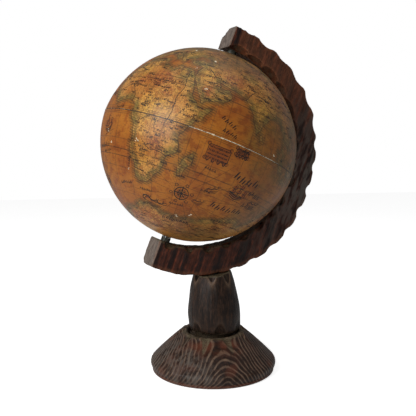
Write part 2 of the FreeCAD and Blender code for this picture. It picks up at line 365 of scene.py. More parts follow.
def worn_wood(name, dark, light, ring_line, worn, ring_width, gloss=0.42, line_strength=0.75, banding=0.34):
    """Stained wood. Its points carry ring (growth rings, counted), grain (millimetres, first along the
    grain), dust, wear, end_grain and a painted grey sheen on the carved facets."""
    s = Shader(name)
    grain = s.vector_of("grain")
    ring = s.value_of("ring")
    fibres = s.noise(s.scaled(grain, (0.035, 1.3, 1.3)), 1.0, 5.0, 0.65)
    fine = s.noise(s.scaled(grain, (0.12, 4.5, 4.5)), 1.0, 3.0, 0.6)
    patches = s.noise(s.scaled(grain, (0.02, 0.06, 0.06)), 1.0, 3.0, 0.5)
    wobble = s.math("MULTIPLY_ADD", s.math("SUBTRACT", fibres, 0.5), 0.30, ring)
    late = s.lines(wobble, 1.0, ring_width * 0.5, 1.6)
    facets = s.noise(s.scaled(grain, (0.05, 0.22, 0.22)), 1.0, 3.0, 0.6)
    specks = s.noise(s.scaled(grain, (0.16, 0.42, 0.42)), 1.0, 3.0, 0.6)
    bands = s.math("PINGPONG", s.times(wobble, 0.5), 0.5)
    specks_and_bands = s.math("ADD", s.times(specks, 0.45), s.times(bands, banding))
    tone = s.math("ADD", s.times(fibres, 0.45), specks_and_bands)
    tone = s.steps(s.math("ADD", tone, s.times(patches, 0.25)), 0.52, 0.84)
    colour = s.mix(tone, dark, light)
    colour = s.mix(s.times(late, s.steps(patches, 0.3, 0.6, 0.4, 1.0), line_strength), colour, ring_line)
    colour = s.mix(s.steps(fine, 0.55, 0.72, 0.0, 0.6), colour, dark)
    colour = s.mix(s.steps(facets, 0.52, 0.68, 0.0, 0.7), colour, dark)
    # Painted grey sheen: pale grey laid over the facets wherever the points ask for it.
    grey_sheen = s.times(s.value_of("grey_sheen"), s.steps(facets, 0.62, 0.40), 0.85)
    colour = s.mix(grey_sheen, colour, (0.105, 0.088, 0.074))
    end_grain = s.value_of("end_grain")
    pores = s.noise(s.scaled(grain, (0.10, 0.9, 0.9)), 1.3, 4.0, 0.7)
    bleached = s.mix(s.steps(pores, 0.32, 0.68), (0.060, 0.043, 0.036), (0.260, 0.215, 0.180))
    colour = s.mix(s.times(end_grain, 0.9), colour, bleached)
    wear = s.times(s.value_of("wear"), s.steps(fine, 0.30, 0.62))
    colour = s.mix(s.math("MINIMUM", wear, 0.9), colour, worn)
    grit = s.noise(grain, 0.9, 4.0, 0.7)
    dust = s.times(s.value_of("dust"), s.steps(grit, 0.30, 0.62))
    colour = s.mix(s.math("MINIMUM", dust, 0.92), colour, s.mix(grit, DUST_DARK, DUST))
    rough = s.math("ADD", s.steps(fibres, 0.3, 0.7, gloss, gloss + 0.18), s.times(dust, 0.35))
    height = s.math("ADD", s.times(fine, 0.5), s.math("ADD", s.times(fibres, 0.8), s.times(grit, dust)))
    s.bump(height, 0.55, 0.0005)
    return s.finish(colour, rough, Specular_IOR_Level=0.20)


arm_wood = worn_wood(
    "arm_wood", dark=(0.0070, 0.0034, 0.0028), light=(0.155, 0.036, 0.0150),
    ring_line=(0.006, 0.003, 0.0025), worn=(0.26, 0.092, 0.036), ring_width=0.42)
stem_wood = worn_wood(
    "stem_wood", dark=(0.0085, 0.0046, 0.0032), light=(0.070, 0.034, 0.019),
    ring_line=(0.013, 0.0075, 0.005), worn=(0.20, 0.125, 0.080), ring_width=0.22, gloss=0.28,
    line_strength=0.40, banding=0.14)
base_wood = worn_wood(
    "base_wood", dark=(0.0130, 0.0066, 0.0046), light=(0.062, 0.0260, 0.0150),
    ring_line=(0.200, 0.130, 0.088), worn=(0.150, 0.042, 0.020), ring_width=0.18, gloss=0.30,
    line_strength=0.8, banding=0.16)


def plain_wood():
    s = Shader("plain_wood")
    place = s.place()
    fibres = s.noise(s.scaled(place, (900.0, 900.0, 40.0)), 1.0, 4.0)
    return s.finish(s.mix(fibres, (0.36, 0.22, 0.11), (0.62, 0.44, 0.26)), 0.7)


# ---------------------------------------------------------------- materials: map, plaster, metal, felt

MAP_SCALE = 100.0


class MapPaint(Shader):
    """Old printed map under brown varnish. Its points carry earth (direction on the globe, by the
    map's own longitude and latitude), coast (millimetres inland), red, yellow, green, and aged varnish that
    is partly painted shade."""

    def __init__(self, name):
        super().__init__(name)
        earth = self.vector_of("earth")
        part = self.node("ShaderNodeSeparateXYZ", {"Vector": earth})
        degrees = 180.0 / math.pi
        self.latitude = self.times(self.math("ARCSINE", part.outputs["Z"]), degrees)
        self.longitude = self.times(self.math("ARCTAN2", part.outputs["Y"], part.outputs["X"]), degrees)
        self.ball = self.scaled(earth, (MAP_SCALE, MAP_SCALE, MAP_SCALE))
        self.middle = self.noise(self.ball, 0.075, 4.0, 0.6)
        self.fine = self.noise(self.ball, 0.45, 4.0, 0.6)
        self.speckle = self.noise(self.ball, 2.2, 2.0, 0.6)
        self.rough_edge = self.math("SUBTRACT", self.fine, 0.5)
        self.shore = self.math("ADD", self.value_of("coast"), self.times(self.rough_edge, 0.7))
        self.age = self.value_of("age")

    def tinted_paper(self):
        """Tinted land and sea, with an olive wash along the coasts, mostly on the land side."""
        land = self.steps(self.shore, -0.05, 0.05)
        sea_colour = self.mix(self.middle, (0.24, 0.066, 0.005), (0.45, 0.160, 0.014))
        land_colour = self.mix(self.middle, (0.46, 0.190, 0.030), (0.74, 0.385, 0.085))
        colour = self.mix(land, sea_colour, land_colour)
        red = self.times(self.value_of("red"), self.steps(self.fine, 0.34, 0.6), land, 0.8)
        colour = self.mix(red, colour, (0.34, 0.085, 0.030))
        ochre = self.times(self.value_of("yellow"), self.steps(self.fine, 0.3, 0.6), land, 0.7)
        colour = self.mix(ochre, colour, (0.56, 0.30, 0.030))
        middle_edge = self.math("SUBTRACT", self.middle, 0.5)
        reach = self.math("ADD", self.shore, self.times(middle_edge, 13.0))
        wash_land = self.times(self.steps(reach, 2.4, 8.0, 1.0, 0.0), land)
        wash_sea = self.times(self.steps(self.shore, -4.5, -0.6), self.math("SUBTRACT", 1.0, land), 0.65)
        coarse_mottle = self.steps(self.noise(self.ball, 0.2, 3.0, 0.6), 0.34, 0.58, 0.4, 1.0)
        mottle = self.times(self.steps(self.speckle, 0.15, 0.6, 0.70, 1.0), coarse_mottle)
        wash = self.times(self.most(wash_land, wash_sea, self.value_of("green")), mottle)
        olive = self.mix(self.fine, (0.060, 0.075, 0.016), (0.150, 0.140, 0.034))
        return self.mix(self.times(wash, 0.80), colour, olive)

    def coast_ink(self):
        """The coastline, and short hatching beside it."""
        line = self.band(self.shore, 0.26, 0.9)
        reach = self.math("MULTIPLY_ADD", self.fine, 6.0, 0.5)
        past_reach = self.math("SUBTRACT", self.math("ABSOLUTE", self.shore), reach)
        beside_shore = self.steps(past_reach, -0.5, 0.5, 1.0, 0.0)
        slanted = self.math("MULTIPLY_ADD", self.longitude, 0.18, self.latitude)
        hatch_place = self.math("MULTIPLY_ADD", self.times(self.rough_edge, 1.6), 0.35, slanted)
        hatch = self.times(self.lines(hatch_place, 1.25, 0.20, 1.0), beside_shore)
        return self.most(self.times(line, 0.95), self.times(hatch, 0.66))

    def inland_ink(self):
        """Stipple and engraver's scribble on the land."""
        inland = self.steps(self.shore, 1.2, 2.6)
        busy = self.steps(self.noise(self.ball, 0.11, 2.0), 0.42, 0.52)
        dots = self.times(self.steps(self.cells(self.ball, 0.40), 0.20, 0.28, 1.0, 0.0), inland, busy)
        round_noise = self.noise(self.ball, 0.26, 2.0, 0.5)
        flat_noise = self.noise(self.scaled(self.ball, (1.0, 1.0, 1.8)), 0.44, 2.0)
        round_line = self.band(self.math("SUBTRACT", round_noise, 0.5), 0.012, 1.2)
        flat_line = self.band(self.math("SUBTRACT", flat_noise, 0.54), 0.015, 1.2)
        scribble = self.times(self.most(round_line, flat_line), inland, self.steps(self.middle, 0.32, 0.52))
        return self.most(self.times(dots, 0.90), self.times(scribble, 0.80))

    def graticule(self):
        """Meridians, parallels, doubled tropics and the equator."""
        from_equator = self.math("ABSOLUTE", self.latitude)
        off_the_pole = self.steps(from_equator, 76, 79, 1, 0)
        meridians = self.times(self.lines(self.longitude, 15.0, 0.17, 1.0), off_the_pole)
        parallels = self.lines(self.latitude, 15.0, 0.15, 1.0)

        def circles(latitudes, width):
            return self.most(*[
                self.band(self.math("SUBTRACT", from_equator, at), width, 1.0) for at in latitudes])

        return self.most(
            self.times(self.most(meridians, parallels), 0.50),
            self.times(circles((20.3, 24.0), 0.17), 0.85),
            self.times(circles((1.1, 2.0), 0.12), 0.6))

    def printed_ink(self):
        """All the printed ink, worn away in patches."""
        stretched = self.node("ShaderNodeCombineXYZ", {
            "X": self.times(self.longitude, 0.22), "Y": self.times(self.latitude, 1.5)})
        streaks = self.steps(self.noise(stretched.outputs["Vector"], 1.0, 3.0, 0.65), 0.54, 0.64)
        dashes = self.times(streaks, self.math("MULTIPLY_ADD", self.age, 0.5, 0.42))
        return self.most(self.coast_ink(), self.inland_ink(), self.graticule(), dashes)

    def under_varnish(self, colour, bloom_and_shade):
        """Gore joints, varnish pooled brown, grey-green bloom that is partly painted shade, foxing and dirt
        in the joint.
        """
        gores = self.lines(self.math("ADD", self.longitude, 7.0), 30.0, 0.10, 1.2)
        colour = self.mix(self.times(gores, 0.5), colour, (0.10, 0.05, 0.02))
        pooled = self.steps(self.noise(self.ball, 0.022, 3.0, 0.55), 0.42, 0.64, 0.0, 0.55)
        colour = self.mix(pooled, colour, (0.60, 0.33, 0.17), "MULTIPLY")
        blotches = self.steps(self.noise(self.ball, 0.13, 4.0, 0.65), 0.48, 0.62, 0.0, 0.70)
        colour = self.mix(blotches, colour, (0.62, 0.42, 0.30), "MULTIPLY")
        # The aged varnish's colour, dark olive to brown, which is painted shade where it darkens the right
        # side and top.
        bloom_tone = self.steps(self.noise(self.ball, 0.24, 4.0, 0.65), 0.42, 0.60)
        colour = self.mix(bloom_and_shade, colour, self.mix(bloom_tone, (0.045, 0.048, 0.022), (0.170, 0.095, 0.036)))
        foxing = self.steps(self.noise(self.ball, 0.9, 3.0, 0.75), 0.58, 0.70, 0.0, 0.5)
        colour = self.mix(foxing, colour, (0.13, 0.055, 0.016))
        colour = self.mix(self.steps(self.speckle, 0.35, 0.75, 0.0, 0.28), colour, (0.22, 0.10, 0.03))
        joint_dirt = self.times(self.band(self.latitude, 0.16, 2.0), 0.85)
        return self.mix(joint_dirt, colour, (0.035, 0.021, 0.012))


def varnished_map():
    s = MapPaint("varnished_map")
    ink = s.printed_ink()
    worn_ink = s.steps(s.noise(s.ball, 0.16, 3.0, 0.7), 0.28, 0.52, 0.30, 1.0)
    colour = s.mix(s.times(ink, worn_ink, 0.92), s.tinted_paper(), (0.024, 0.013, 0.007))
    # Aged varnish, which also paints shade on the globe's right side and top.
    bloom_and_shade = s.times(s.age, s.steps(s.middle, 0.25, 0.7, 0.45, 1.0))
    colour = s.under_varnish(colour, bloom_and_shade)
    rough = s.math("ADD", s.steps(s.middle, 0.3, 0.7, 0.32, 0.44), s.times(bloom_and_shade, 0.10))
    raised = s.math("ADD", s.times(s.speckle, 0.12), s.times(ink, -0.08))
    s.bump(s.math("ADD", s.times(s.fine, 0.7), raised), 0.42, 0.0004)
    return s.finish(colour, rough, Specular_IOR_Level=0.27, Coat_Weight=0.08, Coat_Roughness=0.22)


def ink_material(name, colour):
    s = Shader(name)
    place = s.place()
    grit = s.noise(place, 700.0, 3.0, 0.7)
    paper = (0.26, 0.10, 0.02)
    thinned = [0.8 * channel + 0.2 * below for channel, below in zip(colour, paper)]
    faded = s.mix(s.steps(grit, 0.58, 0.85), colour, thinned)
    return s.finish(faded, 0.42, Specular_IOR_Level=0.25, Coat_Weight=0.12, Coat_Roughness=0.22)


def chalk():
    s = Shader("chalk_ground")
    place = s.place()
    grit = s.noise(place, 700.0, 4.0, 0.7)
    colour = s.mix(grit, (0.50, 0.40, 0.24), (0.86, 0.78, 0.60))
    s.bump(grit, 0.6, 0.0003)
    return s.finish(colour, 0.85)


def dark_metal():
    s = Shader("darkened_metal")
    place = s.place()
    grit = s.noise(place, 500.0, 4.0, 0.65)
    colour = s.mix(s.steps(grit, 0.45, 0.7), (0.020, 0.022, 0.016), (0.085, 0.080, 0.055))
    s.bump(grit, 0.3, 0.0002)
    return s.finish(colour, s.steps(grit, 0.3, 0.7, 0.38, 0.62), Metallic=0.4)


def steel():
    s = Shader("steel")
    place = s.place()
    turned = s.noise(s.scaled(place, (200.0, 200.0, 2500.0)), 1.0, 3.0)
    return s.finish(s.mix(turned, (0.42, 0.42, 0.43), (0.62, 0.62, 0.63)), 0.34, Metallic=1.0)


def felt():
    s = Shader("felt")
    place = s.place()
    fluff = s.noise(place, 1400.0, 4.0, 0.8)
    s.bump(fluff, 0.9, 0.0004)
    return s.finish(s.mix(fluff, (0.016, 0.055, 0.030), (0.045, 0.115, 0.065)), 0.95, Sheen_Weight=0.3)


def card(name, dark, light):
    s = Shader(name)
    place = s.place()
    pulp = s.noise(place, 600.0, 5.0, 0.75)
    s.bump(pulp, 0.5, 0.0003)
    return s.finish(s.mix(pulp, dark, light), 0.9)


# ---------------------------------------------------------------- arm

def outer_radius(angles):
    """Distance from the globe's centre to the arm's outer edge, at angles from the south end. The edge is
    a circle about a lower centre, sawn a little unevenly."""
    radial = np.stack([np.sin(angles), -np.cos(angles)], axis=-1)
    ahead = radial @ ARM_OUTER_CENTRE
    across = ARM_OUTER_CENTRE @ ARM_OUTER_CENTRE - ahead ** 2
    degrees = np.degrees(angles)
    uneven = 1.6 * np.exp(-((degrees - 130) / 17) ** 2) - 1.2 * np.exp(-((degrees - 86) / 15) ** 2)
    return ahead + np.sqrt(ARM_OUTER ** 2 - across) + uneven


def section_outline(spacing=0.64):
    """Points round the arm's section as (distance from the globe's centre, depth), with eased corners."""
    outline = []
    corners = [
        (ARM_OUTER - ARM_CORNER, -ARM_HALF + ARM_CORNER, -90),
        (ARM_OUTER - ARM_CORNER, ARM_HALF - ARM_CORNER, 0),
        (ARM_INNER + ARM_CORNER, ARM_HALF - ARM_CORNER, 90),
        (ARM_INNER + ARM_CORNER, -ARM_HALF + ARM_CORNER, 180),
    ]
    for index, (radius, depth, start) in enumerate(corners):
        for step in range(4):
            angle = math.radians(start + 30 * step)
            outline.append((radius + ARM_CORNER * math.cos(angle), depth + ARM_CORNER * math.sin(angle)))
        following = corners[(index + 1) % 4]
        angle = math.radians(following[2])
        last = outline[-1]
        target = (following[0] + ARM_CORNER * math.cos(angle), following[1] + ARM_CORNER * math.sin(angle))
        pieces = round(math.dist(last, target) / spacing)
        for step in range(1, pieces):
            part = step / pieces
            outline.append((last[0] + (target[0] - last[0]) * part, last[1] + (target[1] - last[1]) * part))
    return np.array(outline)


def arm_strokes():
    """The gouge strokes along the arm's four edges, each a little different, as a hand leaves them. They
    are small at the low end and long and flat near the top; the back's inner edge is only nicked."""
    strokes = []
    for index in range(SCOOP_PAIRS):
        for side in (-1, 1):
            for outer in (True, False):
                degrees = SCOOP_FIRST + SCOOP_PITCH * index + draw.uniform(-1.2, 1.2)
                grown = float(smoothstep(35, 95, degrees))
                flat = float(smoothstep(105, 130, degrees))
                if outer:
                    degrees += 3.0 * float(smoothstep(45, 20, degrees))
                angle = math.radians(degrees)
                radial = np.array([math.sin(angle), 0, -math.cos(angle)])
                tangent = np.array([math.cos(angle), 0, math.sin(angle)])
                face = BACK * (side * ARM_HALF)
                inwards = BACK * -side
                depth = draw.uniform(0.8, 1.2) * (0.84 + 0.16 * grown)
                skew = tangent * draw.uniform(-1.8, 1.8)
                width = draw.uniform(0.75, 1.1) * (1 + 1.5 * flat)
                if outer:
                    edge = float(outer_radius(angle))
                    rim = radial * edge + face + inwards * 9.0 * depth + skew
                    front = radial * (edge - (3.4 - 0.5 * flat) * depth) + face - skew
                    strokes.append(gouge(rim, front, radial - inwards, GOUGE_RADIUS * width))
                else:
                    depth *= 0.88 + 0.12 * grown
                    if side > 0:
                        depth *= 0.35
                    rim = radial * ARM_INNER + face + inwards * 7.0 * depth + skew
                    front = radial * (ARM_INNER + 5.2 * depth) + face - skew
                    strokes.append(gouge(rim, front, -radial - inwards, GOUGE_RADIUS * width * 0.72))
    return strokes


def soften(points, rows, columns, amount, times=4):
    """Ease a grid of points towards its neighbours, by an amount for each point."""
    grid = points.reshape(rows, columns, 3).copy()
    amount = amount.reshape(rows, columns, 1)[1:-1]
    for _ in range(times):
        near = (grid[:-2] + grid[2:] + np.roll(grid, 1, axis=1)[1:-1] + np.roll(grid, -1, axis=1)[1:-1]) / 4
        grid[1:-1] += (near - grid[1:-1]) * amount
    return grid.reshape(-1, 3)


def arm_rows(outline):
    """The arm's cross-sections as rows of (distance from the globe's centre, depth, angle from the south
    end): first the flat low end from its middle outwards, then the arm, then the high end. The back corner
    of each end is cut off."""
    centre = outline.mean(axis=0)
    parts = np.linspace(0.04, 0.98, 22)

    def end_row(part, chamfer):
        section = centre + (outline - centre) * part
        corner = (ARM_HALF - section[:, 1]) + (ARM_OUTER - section[:, 0])
        past = (ARM_END_PAST_AXIS + section[:, 1] * math.sin(ARM_END_SKEW)) / math.cos(ARM_END_SKEW)
        past -= np.maximum(0, chamfer - corner)
        return section, np.arcsin(past / section[:, 0])

    low = [end_row(part, LOW_END_CUT) for part in parts]
    high = [end_row(part, HIGH_END_CUT) for part in parts]
    low_past = end_row(1.0, LOW_END_CUT)[1]
    high_past = end_row(1.0, HIGH_END_CUT)[1]
    end_steps = 14
    main_steps = 530
    rows = [(section, -past) for section, past in low]
    rows += [(outline, -low_past * (1 - step / end_steps)) for step in range(end_steps)]
    rows += [(outline, np.full(len(outline), math.pi * step / main_steps)) for step in range(main_steps + 1)]
    rows += [(outline, math.pi + high_past * step / end_steps) for step in range(1, end_steps + 1)]
    rows += [(section, math.pi + past) for section, past in reversed(high)]
    radii = np.array([section[:, 0] for section, _ in rows])
    depths = np.array([section[:, 1] for section, _ in rows])
    return radii, depths, np.array([angle for _, angle in rows])


def arm_looks(points, depth, edge, ring, grain, on_end):
    """Where the arm is dusty or rubbed, and where a painted grey sheen lies on the facets round its middle.
    """
    patchy = smoothstep(-0.8, 0.8, wave_noise(points, 11, 8))
    centre_distance = np.hypot(points[:, 0], points[:, 2])
    around_arm = np.degrees(np.arctan2(points[:, 0], -points[:, 2]))
    low_part = smoothstep(75, 45, around_arm)
    upper = smoothstep(112, 150, around_arm)
    scoops = smoothstep(0.6, 2.4, depth) * patchy * (0.35 + 0.55 * low_part)
    inner_face = smoothstep(ARM_INNER + 1.0, ARM_INNER - 0.2, centre_distance) * (depth < 0.2)
    dust = np.clip(scoops + inner_face * (0.35 + 0.4 * low_part), 0, 1)
    facing = smoothstep(4.0, 2.0, ARM_HALF - np.abs(points[:, 1]))
    outer_edge = smoothstep(ARM_OUTER - 3.2, ARM_OUTER - 0.4, centre_distance) * facing
    front_edge = smoothstep(ARM_HALF - 2.0, ARM_HALF - 0.3, -points[:, 1])
    ends = smoothstep(-ARM_END_PAST_AXIS + 3.0, -ARM_END_PAST_AXIS + 1.0, points[:, 0]) * front_edge
    # Besides the wear on its edges, the arm is made lighter and redder towards its top.
    wear = np.clip(edge * (0.25 + 0.3 * upper) + outer_edge * 0.25 + ends * 0.6 + upper * 0.30, 0, 1)
    # A painted grey sheen on the facets round the middle of the arm.
    grey_sheen = np.exp(-((around_arm - 92) / 34) ** 2)
    return wood_values(ring, grain, dust, wear, on_end, grey_sheen)


def carved_arm():
    """The arm: a sawn plank that isn't quite true, carved, with its growth rings along the axle."""
    section_radii, depths, angles = arm_rows(section_outline())
    stretch = (outer_radius(angles) - ARM_INNER) / (ARM_OUTER - ARM_INNER)
    inner = ARM_INNER - 1.0 * smoothstep(50, 25, np.degrees(angles))
    radii = inner + (section_radii - ARM_INNER) * stretch
    points = np.stack([radii * np.sin(angles), depths, -radii * np.cos(angles)], axis=-1).reshape(-1, 3)
    row_count, column_count = angles.shape
    known = column_count * 200
    normals = grid_normals(points, row_count, column_count, known, points[known])
    uneven = 0.40 * wave_noise(points, 60, 3) + 0.22 * wave_noise(points, 11, 9)
    points += normals * uneven[:, None]
    points, depth, edge = carve(points, arm_strokes())
    points = soften(points, row_count, column_count, np.clip(0.25 + edge, 0, 0.7))

    drift = 2.4 * wave_noise(points * [1, 1, 0.35], 90, 5) + 0.5 * wave_noise(points * [1, 1, 0.15], 14, 6)
    ring = (from_pith(points, ARM_PITH) + drift) / ARM_RING_SPACING
    grain = points[:, [2, 0, 1]]
    fibre = wave_noise(points * [1, 1, 0.06], 3.2, 7, 40)
    from_end = points[:, 0] + 0.16 * points[:, 1] + ARM_END_PAST_AXIS
    on_end = smoothstep(0.9, 0.3, from_end)
    relief = ARM_GRAIN_RELIEF * (0.6 * np.cos(2 * np.pi * ring) + 0.5 * fibre) * (1 - on_end)
    points += normals * relief[:, None]

    faces = grid_faces(row_count, column_count)
    faces.append(list(range(column_count)))
    faces.append(list(range((row_count - 1) * column_count, row_count * column_count))[::-1])
    return mesh_piece(
        "carved_arm", in_world(points), faces, "stand", arm_wood, ("meridian_arm",),
        arm_looks(points, depth, edge, ring, grain, on_end))


# ---------------------------------------------------------------- stem

def resample(points, count):
    """A smooth curve through (height, radius) points, at even steps of height. Each stretch is a cubic
    that leaves and arrives with the slopes at its two points."""
    heights = np.array([point[0] for point in points])
    radii = np.array([point[1] for point in points])
    slopes = np.gradient(radii, heights)
    wanted = np.linspace(heights[0], heights[-1], count)
    index = np.clip(np.searchsorted(heights, wanted) - 1, 0, len(points) - 2)
    step = heights[index + 1] - heights[index]
    part = (wanted - heights[index]) / step
    after = index + 1
    leave = (part ** 3 - 2 * part ** 2 + part) * step * slopes[index]
    first = (2 * part ** 3 - 3 * part ** 2 + 1) * radii[index] + leave
    arrive = (part ** 3 - part ** 2) * step * slopes[after]
    last = (3 * part ** 2 - 2 * part ** 3) * radii[after] + arrive
    return wanted, first + last


def saddle_height(across):
    """Height of the arm's underside over a point that far across."""
    centre = GLOBE_CENTRE + np.array([ARM_OUTER_CENTRE[0], 0, ARM_OUTER_CENTRE[1]]) @ AXLE_FRAME
    return centre[2] - np.sqrt((ARM_OUTER + JOINT_GAP) ** 2 - (across - centre[0]) ** 2)


def stem_shift(height):
    """How far to the right the stem's middle lies at a height, because it was carved a little askew."""
    (low, low_shift), (high, high_shift) = STEM_FOOT_SHIFT, STEM_TOP_SHIFT
    return low_shift + (high_shift - low_shift) * (np.maximum(height, 36.0) - low) / (high - low)


def around(radius, degrees, height):
    """A point at a distance from the upright axis, at an angle from the right (+X)."""
    angle = math.radians(degrees)
    return np.array([radius * math.cos(angle), radius * math.sin(angle), height])


def stem_strokes():
    """Thumbnail cuts round the stem's top, and smaller ones round its foot."""
    strokes = []
    for index in range(STEM_SCOOPS):
        turn = 360.0 / STEM_SCOOPS * index
        degrees = STEM_TOP_SCOOP_PHASE + turn + draw.uniform(-2, 2)
        shift = [stem_shift(97), 0, 0]
        rim = around(15.6, degrees, 105) + shift
        side = around(23.2, degrees, 90.5) + shift
        strokes.append(gouge(rim, side, around(1, degrees, 0), 7.0 * draw.uniform(0.9, 1.1)))
        degrees = STEM_FOOT_SCOOP_PHASE + turn + draw.uniform(-4, 4)
        shift = [stem_shift(48), 0, 0]
        rim = around(23.6, degrees, 41.5) + shift
        side = around(27.7, degrees, draw.uniform(52, 57)) + shift
        strokes.append(gouge(rim, side, around(1, degrees, 0), 13.0 * draw.uniform(0.9, 1.3)))
    return strokes


def stem_rows(angles):
    """The stem's rings of points, from the middle of its foot up to its saddle, and on to the saddle's
    middle. Also the number of rings below the saddle."""
    barrel_heights, barrel_radii = resample(STEM_BARREL, 150)
    foot = np.array(STEM_FOOT)
    heights = np.concatenate([foot[:, 0], barrel_heights])
    radii = np.concatenate([foot[:, 1], barrel_radii])
    rows = []
    for part in (0.05, 0.5):
        radius = part * radii[0]
        level = np.full(len(angles), heights[0])
        rows.append(np.stack([radius * np.cos(angles), radius * np.sin(angles), level], axis=-1))
    top = saddle_height(np.interp(STEM_TOP_Z, heights, radii) * np.cos(angles) + stem_shift(STEM_TOP_Z))
    for height in heights:
        part = (height - heights[0]) / (heights[-1] - heights[0])
        z = heights[0] + (top - heights[0]) * part
        radius = np.interp(z, heights, radii) if height > foot[-1, 0] else np.interp(height, heights, radii)
        shift = stem_shift(z) * (1.0 if height > foot[-2, 0] else 0.4)
        rows.append(np.stack([radius * np.cos(angles) + shift, radius * np.sin(angles), z], axis=-1))
    side_rows = len(rows) - 2
    rim = rows[-1]
    centre = np.array([stem_shift(STEM_TOP_Z), 0.0])
    for part in np.linspace(0.965, 0.03, 26):
        flat = centre + (rim[:, :2] - centre) * part
        rows.append(np.column_stack([flat, saddle_height(flat[:, 0])]))
    return rows, side_rows


def stem_looks(points, depth, edge, ring):
    """Where the stem is dusty or rubbed."""
    top_ledge = smoothstep(-1.4, -0.1, points[:, 2] - saddle_height(points[:, 0]))
    patchy = smoothstep(-0.6, 1.0, wave_noise(points, 9, 24))
    foot_dust = smoothstep(44.5, 41.0, points[:, 2])
    dust = np.clip(top_ledge * 0.9 + smoothstep(0.6, 2.4, depth) * patchy * 0.25 + foot_dust * 0.35, 0, 1)
    high = smoothstep(80, 90, points[:, 2])
    wear = np.clip(edge * (0.2 + 0.7 * high), 0, 1)
    return wood_values(ring, points[:, [2, 0, 1]], dust, wear)


def carved_stem():
    columns = 300
    rows, side_rows = stem_rows(np.linspace(0, 2 * np.pi, columns, endpoint=False))
    points = np.concatenate(rows)
    row_count = len(rows)
    normals = grid_normals(points, row_count, columns, columns * (row_count // 2), (1, 0, 0))
    barrel = np.zeros(len(points))
    barrel[(len(STEM_FOOT) + 3) * columns:side_rows * columns] = 1
    points += normals * (barrel * 0.30 * wave_noise(points, 34, 21))[:, None]
    points, depth, edge = carve(points, stem_strokes())
    points = soften(points, row_count, columns, barrel * 0.5, 3)
    drift = 1.4 * wave_noise(points * [1, 1, 0.3], 40, 22)
    ring = (from_pith(points, STEM_PITH) + drift) / STEM_RING_SPACING
    fibre = wave_noise(points * [1, 1, 0.07], 3.0, 23, 40)
    points += normals * (barrel * (0.05 * np.cos(2 * np.pi * ring) + 0.09 * fibre))[:, None]
    faces = grid_faces(row_count, columns)
    faces.append(list(range(columns))[::-1])
    faces.append(list(range((row_count - 1) * columns, row_count * columns)))
    return mesh_piece(
        "carved_stem", points, faces, "stand", stem_wood, ("stem",),
        stem_looks(points, depth, edge, ring))


# ---------------------------------------------------------------- base

def base_loop():
    """The base's closed outline as (radius, height): bore, underside, foot band, rounded rim, slope and
    dished top."""
    rim_radius = BASE_RADIUS - BASE_RIM_ROUND
    loop = [(3.2, 12.5), (10.0, 12.5), (10.0, 1.5), (58.3, 1.5), (58.3, 0.5), (63.2, 0.5)]
    loop += [(64.0, 1.1), (64.2, 3.0), (64.0, 3.6)]
    for degrees in np.arange(-42, 47, 5.5):
        angle = math.radians(degrees)
        height = BASE_WIDEST_Z + BASE_RIM_ROUND * math.sin(angle)
        loop.append((rim_radius + BASE_RIM_ROUND * math.cos(angle), height))
    belly = loop[-1]
    shoulder = (BASE_TOP_RADIUS + 1.6, BASE_TOP_Z - 1.9)
    for part in np.linspace(0, 1, 60)[1:-1]:
        sag = 0.8 * math.sin(math.pi * part)
        loop.append((
            belly[0] + (shoulder[0] - belly[0]) * part + sag * 0.7,
            belly[1] + (shoulder[1] - belly[1]) * part + sag * 0.7))
    loop.append(shoulder)
    lip = [(0.7, 0.7), (-0.6, 0.15), (-1.9, 0.0), (-3.2, 0.15), (-4.5, 0.6), (-5.5, 1.5), (-6.0, 2.8)]
    loop += [(BASE_TOP_RADIUS + outwards, BASE_TOP_Z - down) for outwards, down in lip]
    loop += [(25.8, DISH_FLOOR_Z + 0.8), (24.6, DISH_FLOOR_Z), (3.2, DISH_FLOOR_Z)]
    return np.array(loop)


def base_points(columns):
    """The base as rings of points, finely spaced where it shows, and the number of rings."""
    outline = base_loop()
    fine = []
    for first, second in zip(outline, np.roll(outline, -1, axis=0)):
        visible = min(first[0], second[0]) > 24 and first[1] > 1.6
        pieces = max(1, round(math.dist(first, second) / 0.75)) if visible else 1
        for step in range(pieces):
            fine.append(first + (second - first) * step / pieces)
    fine = np.array(fine)
    angles = np.linspace(0, 2 * np.pi, columns, endpoint=False)
    points = np.stack([
        fine[:, :1] * np.cos(angles),
        fine[:, :1] * np.sin(angles),
        np.broadcast_to(fine[:, 1:], (len(fine), columns)),
    ], axis=-1).reshape(-1, 3)
    return points, len(fine)


def base_strokes():
    """Gouge cuts down from the edge of the base's top, which leans towards the front."""
    strokes = []
    for index in range(BASE_SCOOPS):
        degrees = BASE_SCOOP_PHASE + 360.0 / BASE_SCOOPS * index + draw.uniform(-1.5, 1.5)
        top = BASE_TOP_Z - BASE_TOP_SLOPE * BASE_TOP_RADIUS * math.cos(math.radians(degrees - BASE_FRONT))
        start = around(BASE_TOP_RADIUS + 0.6, degrees, top - 3.3)
        end = around(BASE_TOP_RADIUS + 8.0, degrees, top - 7.7)
        strokes.append(gouge(start, end, around(1, degrees, 1), BASE_SCOOP_GOUGE * draw.uniform(0.9, 1.1)))
    return strokes


